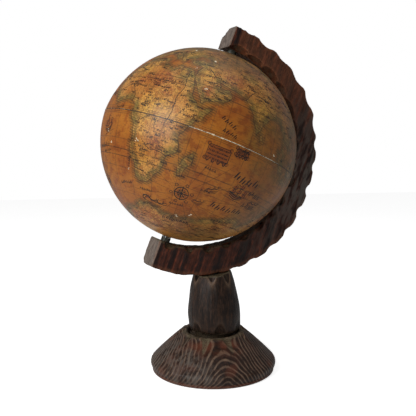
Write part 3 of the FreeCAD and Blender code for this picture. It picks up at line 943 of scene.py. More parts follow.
def base_looks(points, depth, edge, ring, radius, ahead):
    """Where the base is dusty or rubbed red, by distance from its axis and towards its front, and where a
    grey sheen is painted on its left side.
    """
    lip = smoothstep(34.4, 31.5, radius) * (points[:, 2] > 34)
    patchy = smoothstep(-0.9, 0.7, wave_noise(points, 8, 33))
    front = smoothstep(-30, 25, ahead)
    at_front = smoothstep(27, 32, ahead)
    in_scoop = smoothstep(0.2, 0.7, depth) * (0.15 + 0.85 * at_front * (0.6 + 0.4 * patchy))
    dust = np.clip(lip * (0.35 + 0.65 * front) * (0.5 + 0.5 * patchy) + in_scoop, 0, 1)
    reddish = smoothstep(0.6, 1.4, wave_noise(points, 30, 34)) * 0.5
    by_scoops = np.exp(-((radius - 39) / 7) ** 2) * smoothstep(22, 38, ahead) * 0.8
    foot = smoothstep(4.2, 3.0, points[:, 2]) * 0.6
    wear = np.clip(edge * 0.2 + reddish + by_scoops * patchy + foot, 0, 1)
    # A painted grey sheen on the left of the slope, on the side towards the key light.
    grey_sheen = np.exp(-((points @ around(1, -165, 0) - 52) / 16) ** 2) * 0.8
    return wood_values(ring, points[:, [2, 0, 1]], dust, wear, grey_sheen=grey_sheen)


def turned_base():
    """The base. Its growth rings circle a pith under the front rim, and meet the slope in nested arches."""
    columns = 520
    points, row_count = base_points(columns)
    radius = np.hypot(points[:, 0], points[:, 1])
    to_front = around(1, BASE_FRONT, 0)
    raised = smoothstep(25, 40, points[:, 2]) * smoothstep(24.8, 26.5, radius)
    points[:, 2] -= BASE_TOP_SLOPE * (points @ to_front) * raised
    points, depth, edge = carve(points, base_strokes())
    ahead = points @ to_front
    drift = 1.0 * wave_noise(points, 42, 31) + 0.45 * wave_noise(points, 13, 32)
    bow = 0.035 * (points[:, 2] - 20.0) ** 2
    ring = (from_pith(points, BASE_PITH) + drift - bow) / BASE_RING_SPACING
    outside = smoothstep(29.5, 33.0, radius) * (points[:, 2] > 3.6)
    known = columns * (row_count // 2)
    normals = grid_normals(points, row_count, columns, known, points[known])
    points += normals * (outside * BASE_RING_RELIEF * np.cos(2 * np.pi * ring))[:, None]
    return mesh_piece(
        "turned_base", points, grid_faces(row_count, columns, wrap_rows=True), "stand", base_wood, ("base",),
        base_looks(points, depth, edge, ring, radius, ahead))


# ---------------------------------------------------------------- the map's geography

COASTS = {
    "africa": [
        (-6, 36), (2, 37), (10, 37), (11, 33), (19, 30), (23, 33), (33, 31), (35, 27), (37, 21), (39, 15),
        (43, 11), (51, 12), (48, 5), (42, -1), (39, -6), (41, -14), (35, -20), (35, -24), (32, -28),
        (27, -34), (20, -35), (18, -33), (14, -23), (12, -17), (13, -10), (9, -1), (9, 4), (1, 6),
        (-8, 4), (-13, 9), (-17, 15), (-16, 21), (-10, 31)],
    "madagascar": [(49, -12), (50, -16), (47, -25), (44, -25), (43, -21), (45, -16)],
    "eurasia": [
        (-9, 37), (-9, 43), (-2, 43), (-1, 46), (-4, 48), (4, 52), (8, 54), (8, 57), (11, 57), (11, 54),
        (20, 55), (22, 58), (29, 60), (22, 61), (24, 66), (17, 62), (17, 59), (14, 56), (11, 59), (5, 59),
        (5, 62), (12, 66), (25, 71), (40, 67), (44, 67), (60, 69), (80, 73), (104, 77), (130, 71),
        (160, 70), (188, 66), (180, 62), (163, 57), (157, 51), (156, 58), (142, 59), (136, 54), (141, 50),
        (132, 43), (127, 39), (129, 35), (126, 35), (124, 40), (118, 38), (122, 37), (119, 34), (122, 30),
        (114, 22), (107, 20), (109, 12), (105, 9), (100, 13), (103, 2), (98, 8), (98, 15), (92, 22),
        (87, 21), (80, 14), (77, 8), (73, 18), (70, 22), (67, 25), (57, 27), (49, 30), (51, 25), (56, 26),
        (59, 22), (55, 17), (44, 13), (42, 17), (35, 28), (36, 36), (28, 37), (27, 40), (41, 41),
        (38, 46), (30, 46), (28, 42), (24, 41), (22, 37), (13, 45), (18, 40), (16, 38), (9, 44), (3, 43),
        (-1, 38)],
    "britain": [(-5, 50), (1, 51), (0, 53), (-3, 58), (-5, 57), (-3, 54)],
    "ireland": [(-10, 52), (-6, 52), (-6, 55), (-9, 54)],
    "iceland": [(-22, 64), (-18, 63), (-14, 65), (-17, 66), (-22, 66)],
    "japan": [(130, 32), (136, 34), (141, 36), (142, 41), (139, 38), (133, 35)],
    "sumatra": [(95, 6), (101, 2), (106, -5), (101, -4), (97, 1)],
    "java": [(105, -7), (111, -6), (115, -8), (108, -8)],
    "borneo": [(109, 2), (113, 3), (117, 7), (119, 4), (116, -4), (110, -3)],
    "celebes": [(119, -5), (120, 1), (125, 2), (122, -1), (123, -5)],
    "new_guinea": [(131, -1), (141, -3), (150, -10), (144, -8), (133, -4)],
    "luzon": [(120, 18), (122, 17), (126, 8), (122, 7), (120, 14)],
    "ceylon": [(80, 10), (82, 7), (80, 6)],
    "greenland": [(-44, 60), (-40, 65), (-22, 71), (-20, 78), (-40, 83), (-68, 79), (-55, 72), (-52, 65)],
    "north_america": [
        (-168, 66), (-156, 71), (-125, 70), (-95, 69), (-94, 60), (-82, 55), (-79, 52), (-77, 61),
        (-65, 59), (-56, 52), (-66, 50), (-61, 46), (-70, 42), (-75, 36), (-81, 31), (-80, 25), (-84, 30),
        (-97, 27), (-97, 20), (-90, 19), (-88, 16), (-83, 15), (-82, 9), (-78, 8), (-87, 12), (-105, 20),
        (-113, 31), (-110, 23), (-122, 37), (-125, 48), (-138, 59), (-152, 59), (-164, 55), (-158, 59)],
    "south_america": [
        (-77, 8), (-62, 11), (-50, 2), (-35, -6), (-39, -15), (-48, -26), (-57, -36), (-63, -40),
        (-66, -48), (-68, -55), (-75, -48), (-71, -32), (-70, -20), (-76, -14), (-81, -5), (-78, 2)],
    "cuba": [(-84, 22), (-80, 23), (-75, 20), (-82, 22)],
    "hispaniola": [(-74, 20), (-69, 19), (-71, 18)],
}
SOUTHERN_COAST = [
    (-180, -62), (-150, -66), (-120, -68), (-90, -64), (-66, -58), (-40, -64), (-12, -59), (8, -54),
    (22, -48), (34, -48), (46, -51), (62, -49), (76, -45), (92, -39), (104, -42), (112, -30), (122, -22),
    (134, -21), (146, -30), (150, -44), (162, -56), (180, -62)]
RIVERS = [
    [(31, 31), (31, 25), (33, 19), (31, 13), (32, 4), (30, -3), (33, -10)],
    [(6, 5), (6, 9), (0, 15), (-5, 14), (-10, 11)],
    [(12, -6), (18, -2), (24, 1), (26, -8)],
    [(36, -18), (31, -16), (25, -17), (20, -13)],
    [(17, -28), (22, -29), (27, -30)],
    [(48, 46), (46, 50), (50, 54), (42, 57)],
    [(29, 45), (22, 45), (17, 48), (9, 48)],
    [(48, 30), (44, 34), (40, 37)],
    [(67, 24), (70, 29), (74, 33)],
    [(90, 22), (84, 25), (78, 29)],
    [(106, 10), (104, 17), (99, 25)],
    [(121, 31), (114, 30), (105, 29), (98, 30)],
    [(118, 38), (110, 35), (104, 37), (98, 36)],
    [(68, 67), (66, 60), (76, 56), (84, 52)],
    [(125, 72), (124, 64), (112, 59), (106, 54)],
    [(-90, 29), (-91, 36), (-90, 42), (-94, 47)],
    [(-50, 0), (-58, -3), (-66, -3), (-73, -5), (-75, -11)],
    [(-58, -34), (-58, -27), (-57, -19), (-60, -14)],
    [(-66, 49), (-72, 46), (-80, 43), (-87, 46)],
]
MOUNTAINS = [
    [(-8, 31), (0, 33), (8, 35)], [(38, 14), (38, 9), (36, 5)], [(18, -8), (26, -11), (31, -7)],
    [(30, -24), (28, -30), (22, -32)], [(15, 18), (20, 22), (26, 21)], [(10, 10), (16, 8), (22, 9)],
    [(6, 44), (9, 46), (14, 47)], [(38, 44), (45, 42)], [(59, 66), (58, 58), (57, 52)],
    [(75, 35), (82, 30), (90, 28), (97, 28)], [(85, 48), (98, 50)],
    [(-122, 55), (-114, 47), (-107, 39), (-105, 32)],
    [(-78, 0), (-76, -10), (-69, -18), (-70, -30), (-72, -42)], [(30, 38), (40, 39)],
    [(46, 35), (52, 30)], [(44, 22), (50, 20)], [(14, -14), (18, -20)],
]


def ragged(outline, closed=True):
    """A coast with its straight runs broken up at random, down to about a degree."""
    points = list(outline) + ([outline[0]] if closed else [])
    while True:
        finer = [points[0]]
        split = False
        for first, second in zip(points, points[1:]):
            length = math.dist(first, second)
            if length > 1.5:
                offset = draw.uniform(-0.13, 0.13)
                finer.append((
                    (first[0] + second[0]) / 2 - (second[1] - first[1]) * offset,
                    (first[1] + second[1]) / 2 + (second[0] - first[0]) * offset))
                split = True
            finer.append(second)
        points = finer
        if not split:
            return np.array(points)


def direction_at(longitude, latitude):
    """Unit direction on the map from degrees; x points at 0 E on the equator, z at the north pole."""
    east = np.radians(longitude)
    north = np.radians(latitude)
    return np.stack([np.cos(north) * np.cos(east), np.cos(north) * np.sin(east), np.sin(north)], axis=-1)


def inside_ring(longitude, latitude, ring):
    """Even-odd test of many places against one closed ring."""
    result = np.zeros(len(longitude), dtype=bool)
    low, high = ring.min(axis=0), ring.max(axis=0)
    for turn in (-360, 0, 360):
        shifted = longitude + turn
        by_longitude = (shifted >= low[0]) & (shifted <= high[0])
        near = np.where(by_longitude & (latitude >= low[1]) & (latitude <= high[1]))[0]
        odd = np.zeros(len(near), dtype=bool)
        x = shifted[near]
        y = latitude[near]
        for (x1, y1), (x2, y2) in zip(ring, np.roll(ring, -1, axis=0)):
            if y1 != y2:
                odd ^= ((y1 > y) != (y2 > y)) & (x < (x2 - x1) * (y - y1) / (y2 - y1) + x1)
        result[near] |= odd
    return result


coast_rings = {name: ragged(outline) for name, outline in COASTS.items()}
southern = ragged(SOUTHERN_COAST, closed=False)
coast_rings["southern_land"] = np.concatenate([southern, [(180, -90), (-180, -90)]])
shore_lines = [ring for name, ring in coast_rings.items() if name != "southern_land"] + [southern]


def shore_tree():
    """Closely spaced points along every coast, for measuring the distance to it."""
    places = []
    for line in shore_lines:
        for first, second in zip(line, line[1:]):
            pieces = max(1, round(math.dist(first, second) / 0.3))
            for step in range(pieces):
                places.append(first + (second - first) * step / pieces)
    places = direction_at(*np.array(places).T) * GLOBE_RADIUS
    tree = kdtree.KDTree(len(places))
    for index, place in enumerate(places):
        tree.insert(place, index)
    tree.balance()
    return tree


coast_points = shore_tree()


def coast_distance(directions):
    """Millimetres inland, negative at sea."""
    longitude = np.degrees(np.arctan2(directions[:, 1], directions[:, 0]))
    latitude = np.degrees(np.arcsin(np.clip(directions[:, 2], -1, 1)))
    land = np.zeros(len(directions), dtype=bool)
    for ring in coast_rings.values():
        land |= inside_ring(longitude, latitude, ring)
    distance = np.array([coast_points.find(place)[2] for place in (directions * GLOBE_RADIUS).tolist()])
    return np.where(land, distance, -distance)


def map_to_axle(directions):
    """Turn the map's directions so that its prime meridian lies where the globe rests."""
    turn = math.radians(PRIME_MERIDIAN)
    x = directions[..., 0] * math.cos(turn) - directions[..., 1] * math.sin(turn)
    y = directions[..., 0] * math.sin(turn) + directions[..., 1] * math.cos(turn)
    return np.stack([x, y, directions[..., 2]], axis=-1)


def globe_surface(directions, lift=0.0):
    """Points on the map's surface, in the axle's frame, for directions in the map's frame."""
    sine = np.abs(directions[:, 2])
    cosine = np.sqrt(np.maximum(0, 1 - sine ** 2))
    radius = np.sqrt(GLOBE_RADIUS ** 2 - (POLE_FLATTENING * cosine) ** 2) - POLE_FLATTENING * sine
    lumps = LUMP * (0.5 + 0.5 * wave_noise(directions * GLOBE_RADIUS, 46, 41))
    return map_to_axle(directions) * (radius + lumps + lift)[:, None]


# ---------------------------------------------------------------- the map's skin

TINTS = {
    "red": [
        (32, -59, 16), (64, -58, 15), (0, -62, 14), (92, -50, 12), (17, 22, 9), (24, 14, 6), (5, 20, 6),
        (45, 20, 6), (58, 34, 8), (100, 35, 10), (10, 47, 6), (40, 55, 8), (-100, 40, 10), (-60, -10, 9),
        (28, -14, 6), (78, 50, 9), (130, 60, 9), (120, -30, 8)],
    "yellow": [
        (22, 3, 12), (30, 30, 8), (0, 25, 8), (40, 35, 10), (78, 22, 9), (112, 30, 12), (-75, -25, 10),
        (-85, 50, 12), (60, 62, 12), (20, -20, 9), (25, 45, 8)],
    "green": [
        (22, 50, 7), (95, 55, 10), (-50, -20, 8), (-110, 60, 9), (48, 44, 6), (70, 42, 6), (12, -3, 5),
        (47, -19, 9), (101, 0, 8), (78, 6, 9), (84, 16, 9), (113, 0, 6), (0, 53, 5), (30, 27, 8),
        (84, -7, 6), (94, -17, 7), (92, -36, 6), (99, -6, 7), (41, -7, 6), (-16, 52, 6)],
}
# Patches of aged, darkened varnish at (longitude, latitude, radius in degrees). The ones east of 55 E and
# the one round the north pole also paint shade on the globe's right side and top as it rests.
AGED_AND_SHADED = [
    (112, 10, 50), (150, 40, 50), (15, 78, 34), (-120, 0, 42), (-60, 60, 34), (80, -60, 26),
    (-40, -35, 26), (58, 56, 26), (108, -30, 26)]


def blobs(directions, places, sharpness=1.0):
    """Soft round patches at (longitude, latitude, radius in degrees)."""
    total = np.zeros(len(directions))
    for longitude, latitude, radius in places:
        angle = np.degrees(np.arccos(np.clip(directions @ direction_at(longitude, latitude), -1, 1)))
        total = np.maximum(total, smoothstep(radius, radius * (1 - 0.65 * sharpness), angle))
    return total


def map_skin(name, north, material):
    """One half of the map: paper with its printed face dense enough for the coasts, closed inside."""
    sign = 1 if north else -1
    top = math.degrees(math.acos(BUSH_HOLE / (GLOBE_RADIUS - POLE_FLATTENING)))
    latitudes = np.concatenate([
        np.linspace(0.03, top, MAP_ROWS),
        np.linspace(top, 0.03, MAP_INNER_ROWS),
    ])
    longitudes = np.arange(MAP_COLUMNS) * 360 / MAP_COLUMNS
    latitude, longitude = np.meshgrid(latitudes * sign, longitudes, indexing="ij")
    directions = direction_at(longitude.ravel(), latitude.ravel())
    lift = np.where(np.arange(len(directions)) < MAP_ROWS * MAP_COLUMNS, 0.0, -PAPER)
    points = globe_surface(directions, lift)
    faces = grid_faces(len(latitudes), MAP_COLUMNS, wrap_rows=True)
    if not north:
        faces = [face[::-1] for face in faces]
    outer = MAP_ROWS * MAP_COLUMNS
    coast = np.zeros(len(directions))
    coast[:outer] = coast_distance(directions[:outer])
    # The ageing weight, partly painted shade.
    values = {"earth": directions, "coast": coast, "age": 0.74 * blobs(directions, AGED_AND_SHADED, 1.3)}
    for key, places in TINTS.items():
        values[key] = blobs(directions, places)
    values["green"] *= np.where(coast > -1, 0.8, 0.45)
    half = "north" if north else "south"
    return mesh_piece(
        name, in_world(points), faces, "globe", material, ("map_gores_" + half, "polar_calotte_" + half),
        values)


# ---------------------------------------------------------------- ink strokes

INK_STEP = 2.6
INK_DEPTH = 0.10
RHUMB_LINES = 16
INLAND_SPOTS = 1700


class Ink:
    """Pen strokes lying on the globe, gathered into one mesh."""

    def __init__(self):
        self.lines = []

    def stroke(self, directions, width):
        """Add a line, with its long steps split so that it follows the globe's curve."""
        directions = np.asarray(directions)
        line = [directions[0]]
        for first, second in zip(directions, directions[1:]):
            pieces = math.ceil(math.dist(first, second) * GLOBE_RADIUS / INK_STEP)
            for step in range(1, max(1, pieces) + 1):
                line.append(first + (second - first) * step / max(1, pieces))
        self.lines.append((np.array(line), width))

    def piece(self, name, material, lift=0.05):
        points, faces = [], []
        for directions, width in self.lines:
            directions = directions / np.linalg.norm(directions, axis=1)[:, None]
            base = globe_surface(directions)
            up = base / np.linalg.norm(base, axis=1)[:, None]
            along = np.gradient(base, axis=0)
            side = np.cross(up, along)
            side /= np.maximum(np.linalg.norm(side, axis=1), 1e-9)[:, None]
            count = len(base)
            taper = 1 - (0.5 if count > 3 else 0.15) * np.abs(np.linspace(-1, 1, count)) ** 3
            half = (side.T * taper * width / 2).T
            first = sum(len(block) for block in points)
            top = base + up * lift
            low = base - up * INK_DEPTH
            block = np.stack([top - half, top + half, low + half, low - half], axis=1).reshape(-1, 3)
            points.append(block)
            for step in range(count - 1):
                start = first + 4 * step
                for corner in range(4):
                    after = (corner + 1) % 4
                    faces.append((start + corner, start + after, start + 4 + after, start + 4 + corner))
            faces.append((first + 3, first + 2, first + 1, first))
            last = first + 4 * (count - 1)
            faces.append((last, last + 1, last + 2, last + 3))
        points = in_world(np.concatenate(points))
        return mesh_piece(name, points, faces, "globe", material, ())


class Place:
    """A flat drawing surface touching the globe at a place, in millimetres, turned anticlockwise."""

    def __init__(self, longitude, latitude, turn=0.0, size=1.0):
        self.centre = direction_at(longitude, latitude)
        east = np.cross([0, 0, 1], self.centre)
        east /= np.linalg.norm(east)
        north = np.cross(self.centre, east)
        angle = math.radians(turn)
        self.right = (east * math.cos(angle) + north * math.sin(angle)) * size / GLOBE_RADIUS
        self.up = (north * math.cos(angle) - east * math.sin(angle)) * size / GLOBE_RADIUS

    def __call__(self, points):
        points = np.asarray(points, dtype=float)
        spots = self.centre + points[:, :1] * self.right + points[:, 1:] * self.up
        return spots / np.linalg.norm(spots, axis=1)[:, None]


def arc_points(x, y, radius, start, end, count):
    """Points along part of a circle, from one angle in degrees to another."""
    angles = np.radians(np.linspace(start, end, count))
    return [(x + radius * math.cos(angle), y + radius * math.sin(angle)) for angle in angles]


def bent(points, count=10, wiggle=0.0):
    """A hand-drawn line through a few points, in small steps."""
    points = np.asarray(points, dtype=float)
    lengths = np.concatenate([[0], np.cumsum(np.linalg.norm(np.diff(points, axis=0), axis=1))])
    wanted = np.linspace(0, lengths[-1], count)
    line = np.stack([np.interp(wanted, lengths, points[:, axis]) for axis in (0, 1)], axis=-1)
    for _ in range(2):
        line[1:-1] = (line[:-2] + 2 * line[1:-1] + line[2:]) / 4
    if wiggle:
        for point in line[1:-1]:
            point += (draw.uniform(-wiggle, wiggle), draw.uniform(-wiggle, wiggle))
    return line


def scribbled_word(ink, place, x, y, length, height, width):
    """A row of pen strokes that only looks like writing from a distance."""
    cursor = x
    while cursor < x + length:
        kind = draw.randrange(5)
        step = height * draw.uniform(0.45, 0.8)
        if kind == 1:
            mark = arc_points(step * 0.4, height * 0.35, height * 0.34, 40, 320, 7)
        else:
            mark = {
                0: [(0, 0), (height * 0.18, height)],
                2: [(0, 0), (height * 0.18, height * 0.8), (step * 0.6, height * 0.1)],
                3: [(0, height * 0.5), (step * 0.5, 0), (step * 0.7, height * 0.6)],
                4: [(0, height * 0.2), (step * 0.4, height * 0.7), (step * 0.8, 0)],
            }[kind]
        ink.stroke(place([(cursor + mark_x, y + mark_y) for mark_x, mark_y in mark]), width)
        cursor += step


def title_marks(ink, place, length, height):
    """Heavy slanting pen ticks in a title's place, long and short by turns, which form no letters."""
    pen = 0.35 + 0.13 * height
    x = 0.0
    while x < length:
        foot = height * (0.0, 0.12, 0.28, 0.06)[draw.randrange(4)]
        step = height * draw.uniform(0.62, 0.85)
        for along, reach in ((0.0, 0.86), (0.55, 0.5)):
            tick_x = x + along * step
            ink.stroke(place([(tick_x, foot), (tick_x + 0.36 * reach * height, foot + reach * height)]), pen)
        x += step + 0.15 * height


def ray(angle, near, far):
    """Two points at distances from a drawing's middle."""
    return [(reach * math.cos(angle), reach * math.sin(angle)) for reach in (near, far)]


def compass_rose(ink, warm, place, radius):
    """Two rings, a star and rays, with small curls outside."""
    for index in range(8):
        angle = math.radians(45 * index + 22.5)
        warm.stroke(place(ray(angle, radius * 0.55, radius * 0.88)), 1.7)
        angle += math.radians(22.5)
        reach, width = (1.14, 1.1) if index % 2 else (0.8, 0.8)
        ink.stroke(place(ray(angle, 0, radius * reach)), width)
    for ring, width in ((radius, 0.95), (radius * 0.52, 0.6)):
        ink.stroke(place(arc_points(0, 0, ring, 0, 360, 40)), width)
    for index in range(6):
        (x, y), _ = ray(math.radians(60 * index + 12), radius * 1.5, 0)
        start = draw.uniform(0, 360)
        ink.stroke(place(arc_points(x, y, radius * 0.24, start, draw.uniform(400, 620), 8)), 0.6)


def ship(ink, warm, place, size):
    """A three-masted ship about 9 mm long, times its size; its pen keeps nearly the same width."""
    pen = 0.75

    def curve(pen_ink, points, count, width):
        pen_ink.stroke(place(bent(points, count)), width)

    for row in range(3):
        y = 0.7 - 0.75 * row
        reach = 4.2 - 0.6 * row
        curve(ink, [(-reach, y + 0.5), (0, y - 0.3), (reach, y + 0.7)], 10, 0.42 * size)
    curve(warm, [(-3.6, 0.6), (0, 0.0), (3.6, 0.8)], 8, 0.45 * size)
    for x, height in ((-2.6, 5.0), (0.1, 6.8), (2.8, 4.6)):
        ink.stroke(place([(x, 0.2), (x, height)]), pen)
        for level in (0.40, 0.74):
            y = height * level
            curve(warm, [(x - 0.8, y), (x, y + 0.2), (x + 0.9, y)], 5, 1.2 * size)
            sail = [(x - 1.2, y - 0.7), (x + 0.9, y - 0.8), (x + 1.2, y + 0.2), (x + 0.7, y + 0.9)]
            curve(ink, sail, 9, pen)
        curve(ink, [(x, height), (x + 1.2, height + 0.4), (x + 2.0, height - 0.1)], 6, 0.7 * pen)
    curve(ink, [(-5.2, -1.7), (-2, -1.3), (0, -1.8), (2, -1.3), (5.0, -1.7)], 12, 0.6 * pen)


def sea_monster(ink, warm, place, size):
    """A coiled sea beast about 11 mm long, times its size, with its wake."""
    back = [
        (-5, 0), (-4, 2.2), (-2.2, 2.4), (-1.2, 0.4), (0.2, 1.8), (1.8, 2.0), (2.6, 0.2), (4.0, 1.0),
        (5.6, 2.6), (6.6, 1.8)]
    belly = [
        (-5.6, 1.2), (-4, 3.2), (-2.2, 1.2), (-0.6, 1.6), (0.8, 0.4), (2.6, 1.4), (4.8, 0.4), (6.4, 1.0)]
    ink.stroke(place(bent(back, 26)), 0.5 * size)
    ink.stroke(place(bent(belly, 22)), 0.4 * size)
    ink.stroke(place(arc_points(-4.6, 1.0, 1.3, 40, 300, 10)), 0.5 * size)
    warm.stroke(place(bent([(-4.6, 0.6), (-3.4, 1.6), (-2.0, 1.5)], 7)), 1.0 * size)
    for x in (-3.4, -2.4, 0.9, 1.7, 4.4):
        ink.stroke(place([(x, 1.9), (x + 0.5, 3.2)]), 0.32 * size)
    for row in range(4):
        y = -0.7 - 0.75 * row
        wave = [(-5 + row, y), (-2, y + 0.35), (1, y - 0.25), (5 - row, y + 0.2)]
        ink.stroke(place(bent(wave, 12)), 0.26 * size)


def cartouche(ink, warm, west, east, south, north):
    """A strapwork title panel, coloured in stripes and filled with rows of marks, with a scroll below."""
    place = Place((west + east) / 2, (south + north) / 2)
    half_w = math.radians(east - west) * GLOBE_RADIUS / 2
    half_h = math.radians(north - south) * GLOBE_RADIUS / 2
    stripes = round(2 * half_h / 1.1)
    for index in range(stripes):
        y = -half_h + (index + 0.5) * 2 * half_h / stripes
        warm.stroke(place(bent([(-half_w, y), (half_w, y)], 12)), 1.2)
    frame_line = [
        (-half_w, -half_h), (half_w, -half_h), (half_w, half_h), (-half_w, half_h), (-half_w, -half_h)]
    ink.stroke(place(bent(frame_line, 48)), 0.6)
    rows = max(3, round(half_h / 1.6))
    for row in range(rows):
        y = half_h - (row + 0.85) * 2 * half_h / rows
        scribbled_word(ink, place, -half_w + 1.2, y, 2 * half_w - 3.0, 1.8, 0.75)
    for corner_x in (-half_w, half_w):
        for corner_y in (-half_h, half_h):
            ink.stroke(place(arc_points(corner_x, corner_y, 1.5, 0, 330, 14)), 0.6)
            warm.stroke(place([(corner_x - 0.8, corner_y), (corner_x + 0.8, corner_y)]), 1.5)
    for index in range(4):
        x = -half_w + (index + 0.5) * 2 * half_w / 4
        scroll = [(x - 1.5, -half_h - 0.3), (x, -half_h - 2.6), (x + 1.5, -half_h - 0.3)]
        ink.stroke(place(bent(scroll, 9)), 0.9)
        warm.stroke(place(bent([(x - 0.9, -half_h - 0.8), (x + 0.9, -half_h - 0.8)], 4)), 1.3)


def line_length(line):
    """Length of a line of points, in its own units."""
    return sum(math.dist(first, second) for first, second in zip(line, line[1:]))


def mountain_chain(ink, line):
    """Small hills with a shaded side along a line."""
    for longitude, latitude in bent(line, max(6, int(line_length(line) / 1.7)), 0.3):
        hill = Place(longitude, latitude)
        size = draw.uniform(1.0, 1.6)
        slopes = [
            (-0.75 * size, -0.5), (-0.2 * size, 0.75 * size), (0.2 * size, 0.7 * size), (0.8 * size, -0.5)]
        ink.stroke(hill(slopes), 0.42)
        ink.stroke(hill([(0.25 * size, 0.45 * size), (0.45 * size, -0.3)]), 0.45)


def rhumb_lines(ink, longitude, latitude, reach):
    """Straight sailing lines from a compass rose."""
    for index in range(RHUMB_LINES):
        place = Place(longitude, latitude, 360 / RHUMB_LINES * index)
        ink.stroke(place(np.stack([np.linspace(10.5, reach, 30), np.zeros(30)], axis=-1)), 0.20)


ROSES = [(50, -34.3, 6.4, 60), (-32, 30, 6.0, 62), (-130, 5, 6.4, 70), (168, -28, 5.6, 60)]
SHIPS = [
    (-9.5, -11.5, 20, 1.9), (81, -25.5, -6, 2.3), (-45, 12, 10, 1.9), (-150, 32, -6, 2.0),
    (-110, -25, 8, 1.8), (155, 18, -5, 1.8), (-20, -42, 5, 1.6)]
MONSTERS = [
    (32, -46, -6, 2.0), (-28, 48, 5, 1.6), (-140, -40, -6, 1.8), (172, 42, 8, 1.7), (62, -36, 14, 1.0),
    (66.6, -26.5, 30, 1.1), (97, -26, 10, 1.2)]
SEA_WORDS = [
    (74, -17.5, -4, 26, 8.4), (70, -36.5, 0, 33, 7.0), (88, -22, -4, 16, 5.0), (89, -29.5, -4, 16, 5.0),
    (56.5, 8.6, -16, 14, 4.6), (59, 3.2, -14, 13, 4.2), (73, -2.5, -14, 7, 4.0), (78, -45, 4, 18, 3.4),
    (57, -17, -6, 10, 2.6), (60, -29, 0, 9, 2.6), (21, -40, 0, 12, 2.4), (44, -26, 4, 8, 2.4),
    (13, -29, 80, 9, 2.6), (-6, 0, 10, 12, 2.8), (-14, -24, 8, 14, 2.8), (3, -40, 8, 14, 3.2),
    (44, -43, 4, 12, 2.6), (-30, 8, 0, 26, 6.0), (-20, -22, 6, 22, 5.0), (-150, 14, 0, 32, 7.0),
    (-125, -12, -4, 28, 6.0), (-165, -48, 0, 30, 5.4), (150, 30, 4, 16, 4.4), (40, -56, 0, 26, 3.8),
    (100, -60, 0, 34, 4.4), (-60, -70, 0, 24, 3.8)]


def draw_map_ink():
    """Every drawn line on the map that isn't in its paint, as dark ink and warm colour, by half."""
    ink = {"north": Ink(), "south": Ink()}
    warm = {"north": Ink(), "south": Ink()}

    def half(latitude):
        return "north" if latitude >= 0 else "south"

    for river in RIVERS:
        line = bent(river, max(8, int(line_length(river))), 0.28)
        ink[half(river[0][1])].stroke(direction_at(line[:, 0], line[:, 1]), 0.55)
    for chain in MOUNTAINS:
        mountain_chain(ink[half(chain[0][1])], chain)
    for longitude, latitude, radius, reach in ROSES:
        compass_rose(ink[half(latitude)], warm[half(latitude)], Place(longitude, latitude), radius)
        rhumb_lines(ink[half(latitude)], longitude, latitude, reach)
    for longitude, latitude, turn, size in SHIPS:
        ship(ink[half(latitude)], warm[half(latitude)], Place(longitude, latitude, turn, size), size)
    for longitude, latitude, turn, size in MONSTERS:
        sea_monster(ink[half(latitude)], warm[half(latitude)], Place(longitude, latitude, turn, size), size)
    for longitude, latitude, turn, length, height in SEA_WORDS:
        place = Place(longitude, latitude, turn)
        title_marks(ink[half(latitude)], place, length, height)
    cartouche(ink["south"], warm["south"], 55, 67, -11.6, -4.3)
    cartouche(ink["south"], warm["south"], 69.5, 76.5, -4.6, -1.6)
    cartouche(ink["south"], warm["south"], -115, -98, -48, -38)
    cartouche(ink["north"], warm["north"], -175, -160, 38, 50)

    # place names inland
    spots = []
    for _ in range(INLAND_SPOTS):
        longitude = draw.uniform(-180, 180)
        latitude = math.degrees(math.asin(draw.uniform(-0.93, 0.95)))
        spots.append((longitude, latitude))
    spots = np.array(spots)
    inland = coast_distance(direction_at(spots[:, 0], spots[:, 1])) > 1.2
    for longitude, latitude in spots[inland]:
        place = Place(longitude, latitude, draw.uniform(-8, 8))
        length = draw.uniform(2.6, 6.5)
        scribbled_word(ink[half(latitude)], place, 0, 0, length, draw.uniform(1.4, 2.3), 0.55)
        if draw.random() < 0.4:
            ink[half(latitude)].stroke(place(arc_points(-1.2, 0.5, 0.45, 0, 350, 7)), 0.35)
    return ink, warm


# ---------------------------------------------------------------- chips and the cracked joint

CHIPS = [
    (41, 44, 2.0), (19, 52, 1.4), (44, 22, 1.3), (33, 34, 0.8), (-4, -18, 1.2), (17, -14, 1.1),
    (12, -30, 0.9), (62, -46, 1.6), (52, -50, 1.2), (-20, 20, 1.3), (150, 10, 1.6), (-100, 5, 1.4),
    (-70, -40, 1.2), (120, 55, 1.3), (-150, -20, 1.5), (93, 3, 1.4), (-9, -12, 1.0)]


FLAKE_LIFT = 0.055
FLAKE_DEPTH = 0.3


def flake(points, faces, directions):
    """Add an irregular flat patch of bare ground, as a thin closed slab, to points and faces."""
    surface = globe_surface(directions)
    up = surface / np.linalg.norm(surface, axis=1)[:, None]
    first = len(points)
    count = len(directions)
    points.extend((surface + up * FLAKE_LIFT).tolist())
    points.extend((surface - up * FLAKE_DEPTH).tolist())
    faces.append(tuple(range(first, first + count)))
    faces.append(tuple(range(first + 2 * count - 1, first + count - 1, -1)))
    for step in range(count):
        after = (step + 1) % count
        faces.append((first + step, first + count + step, first + count + after, first + after))


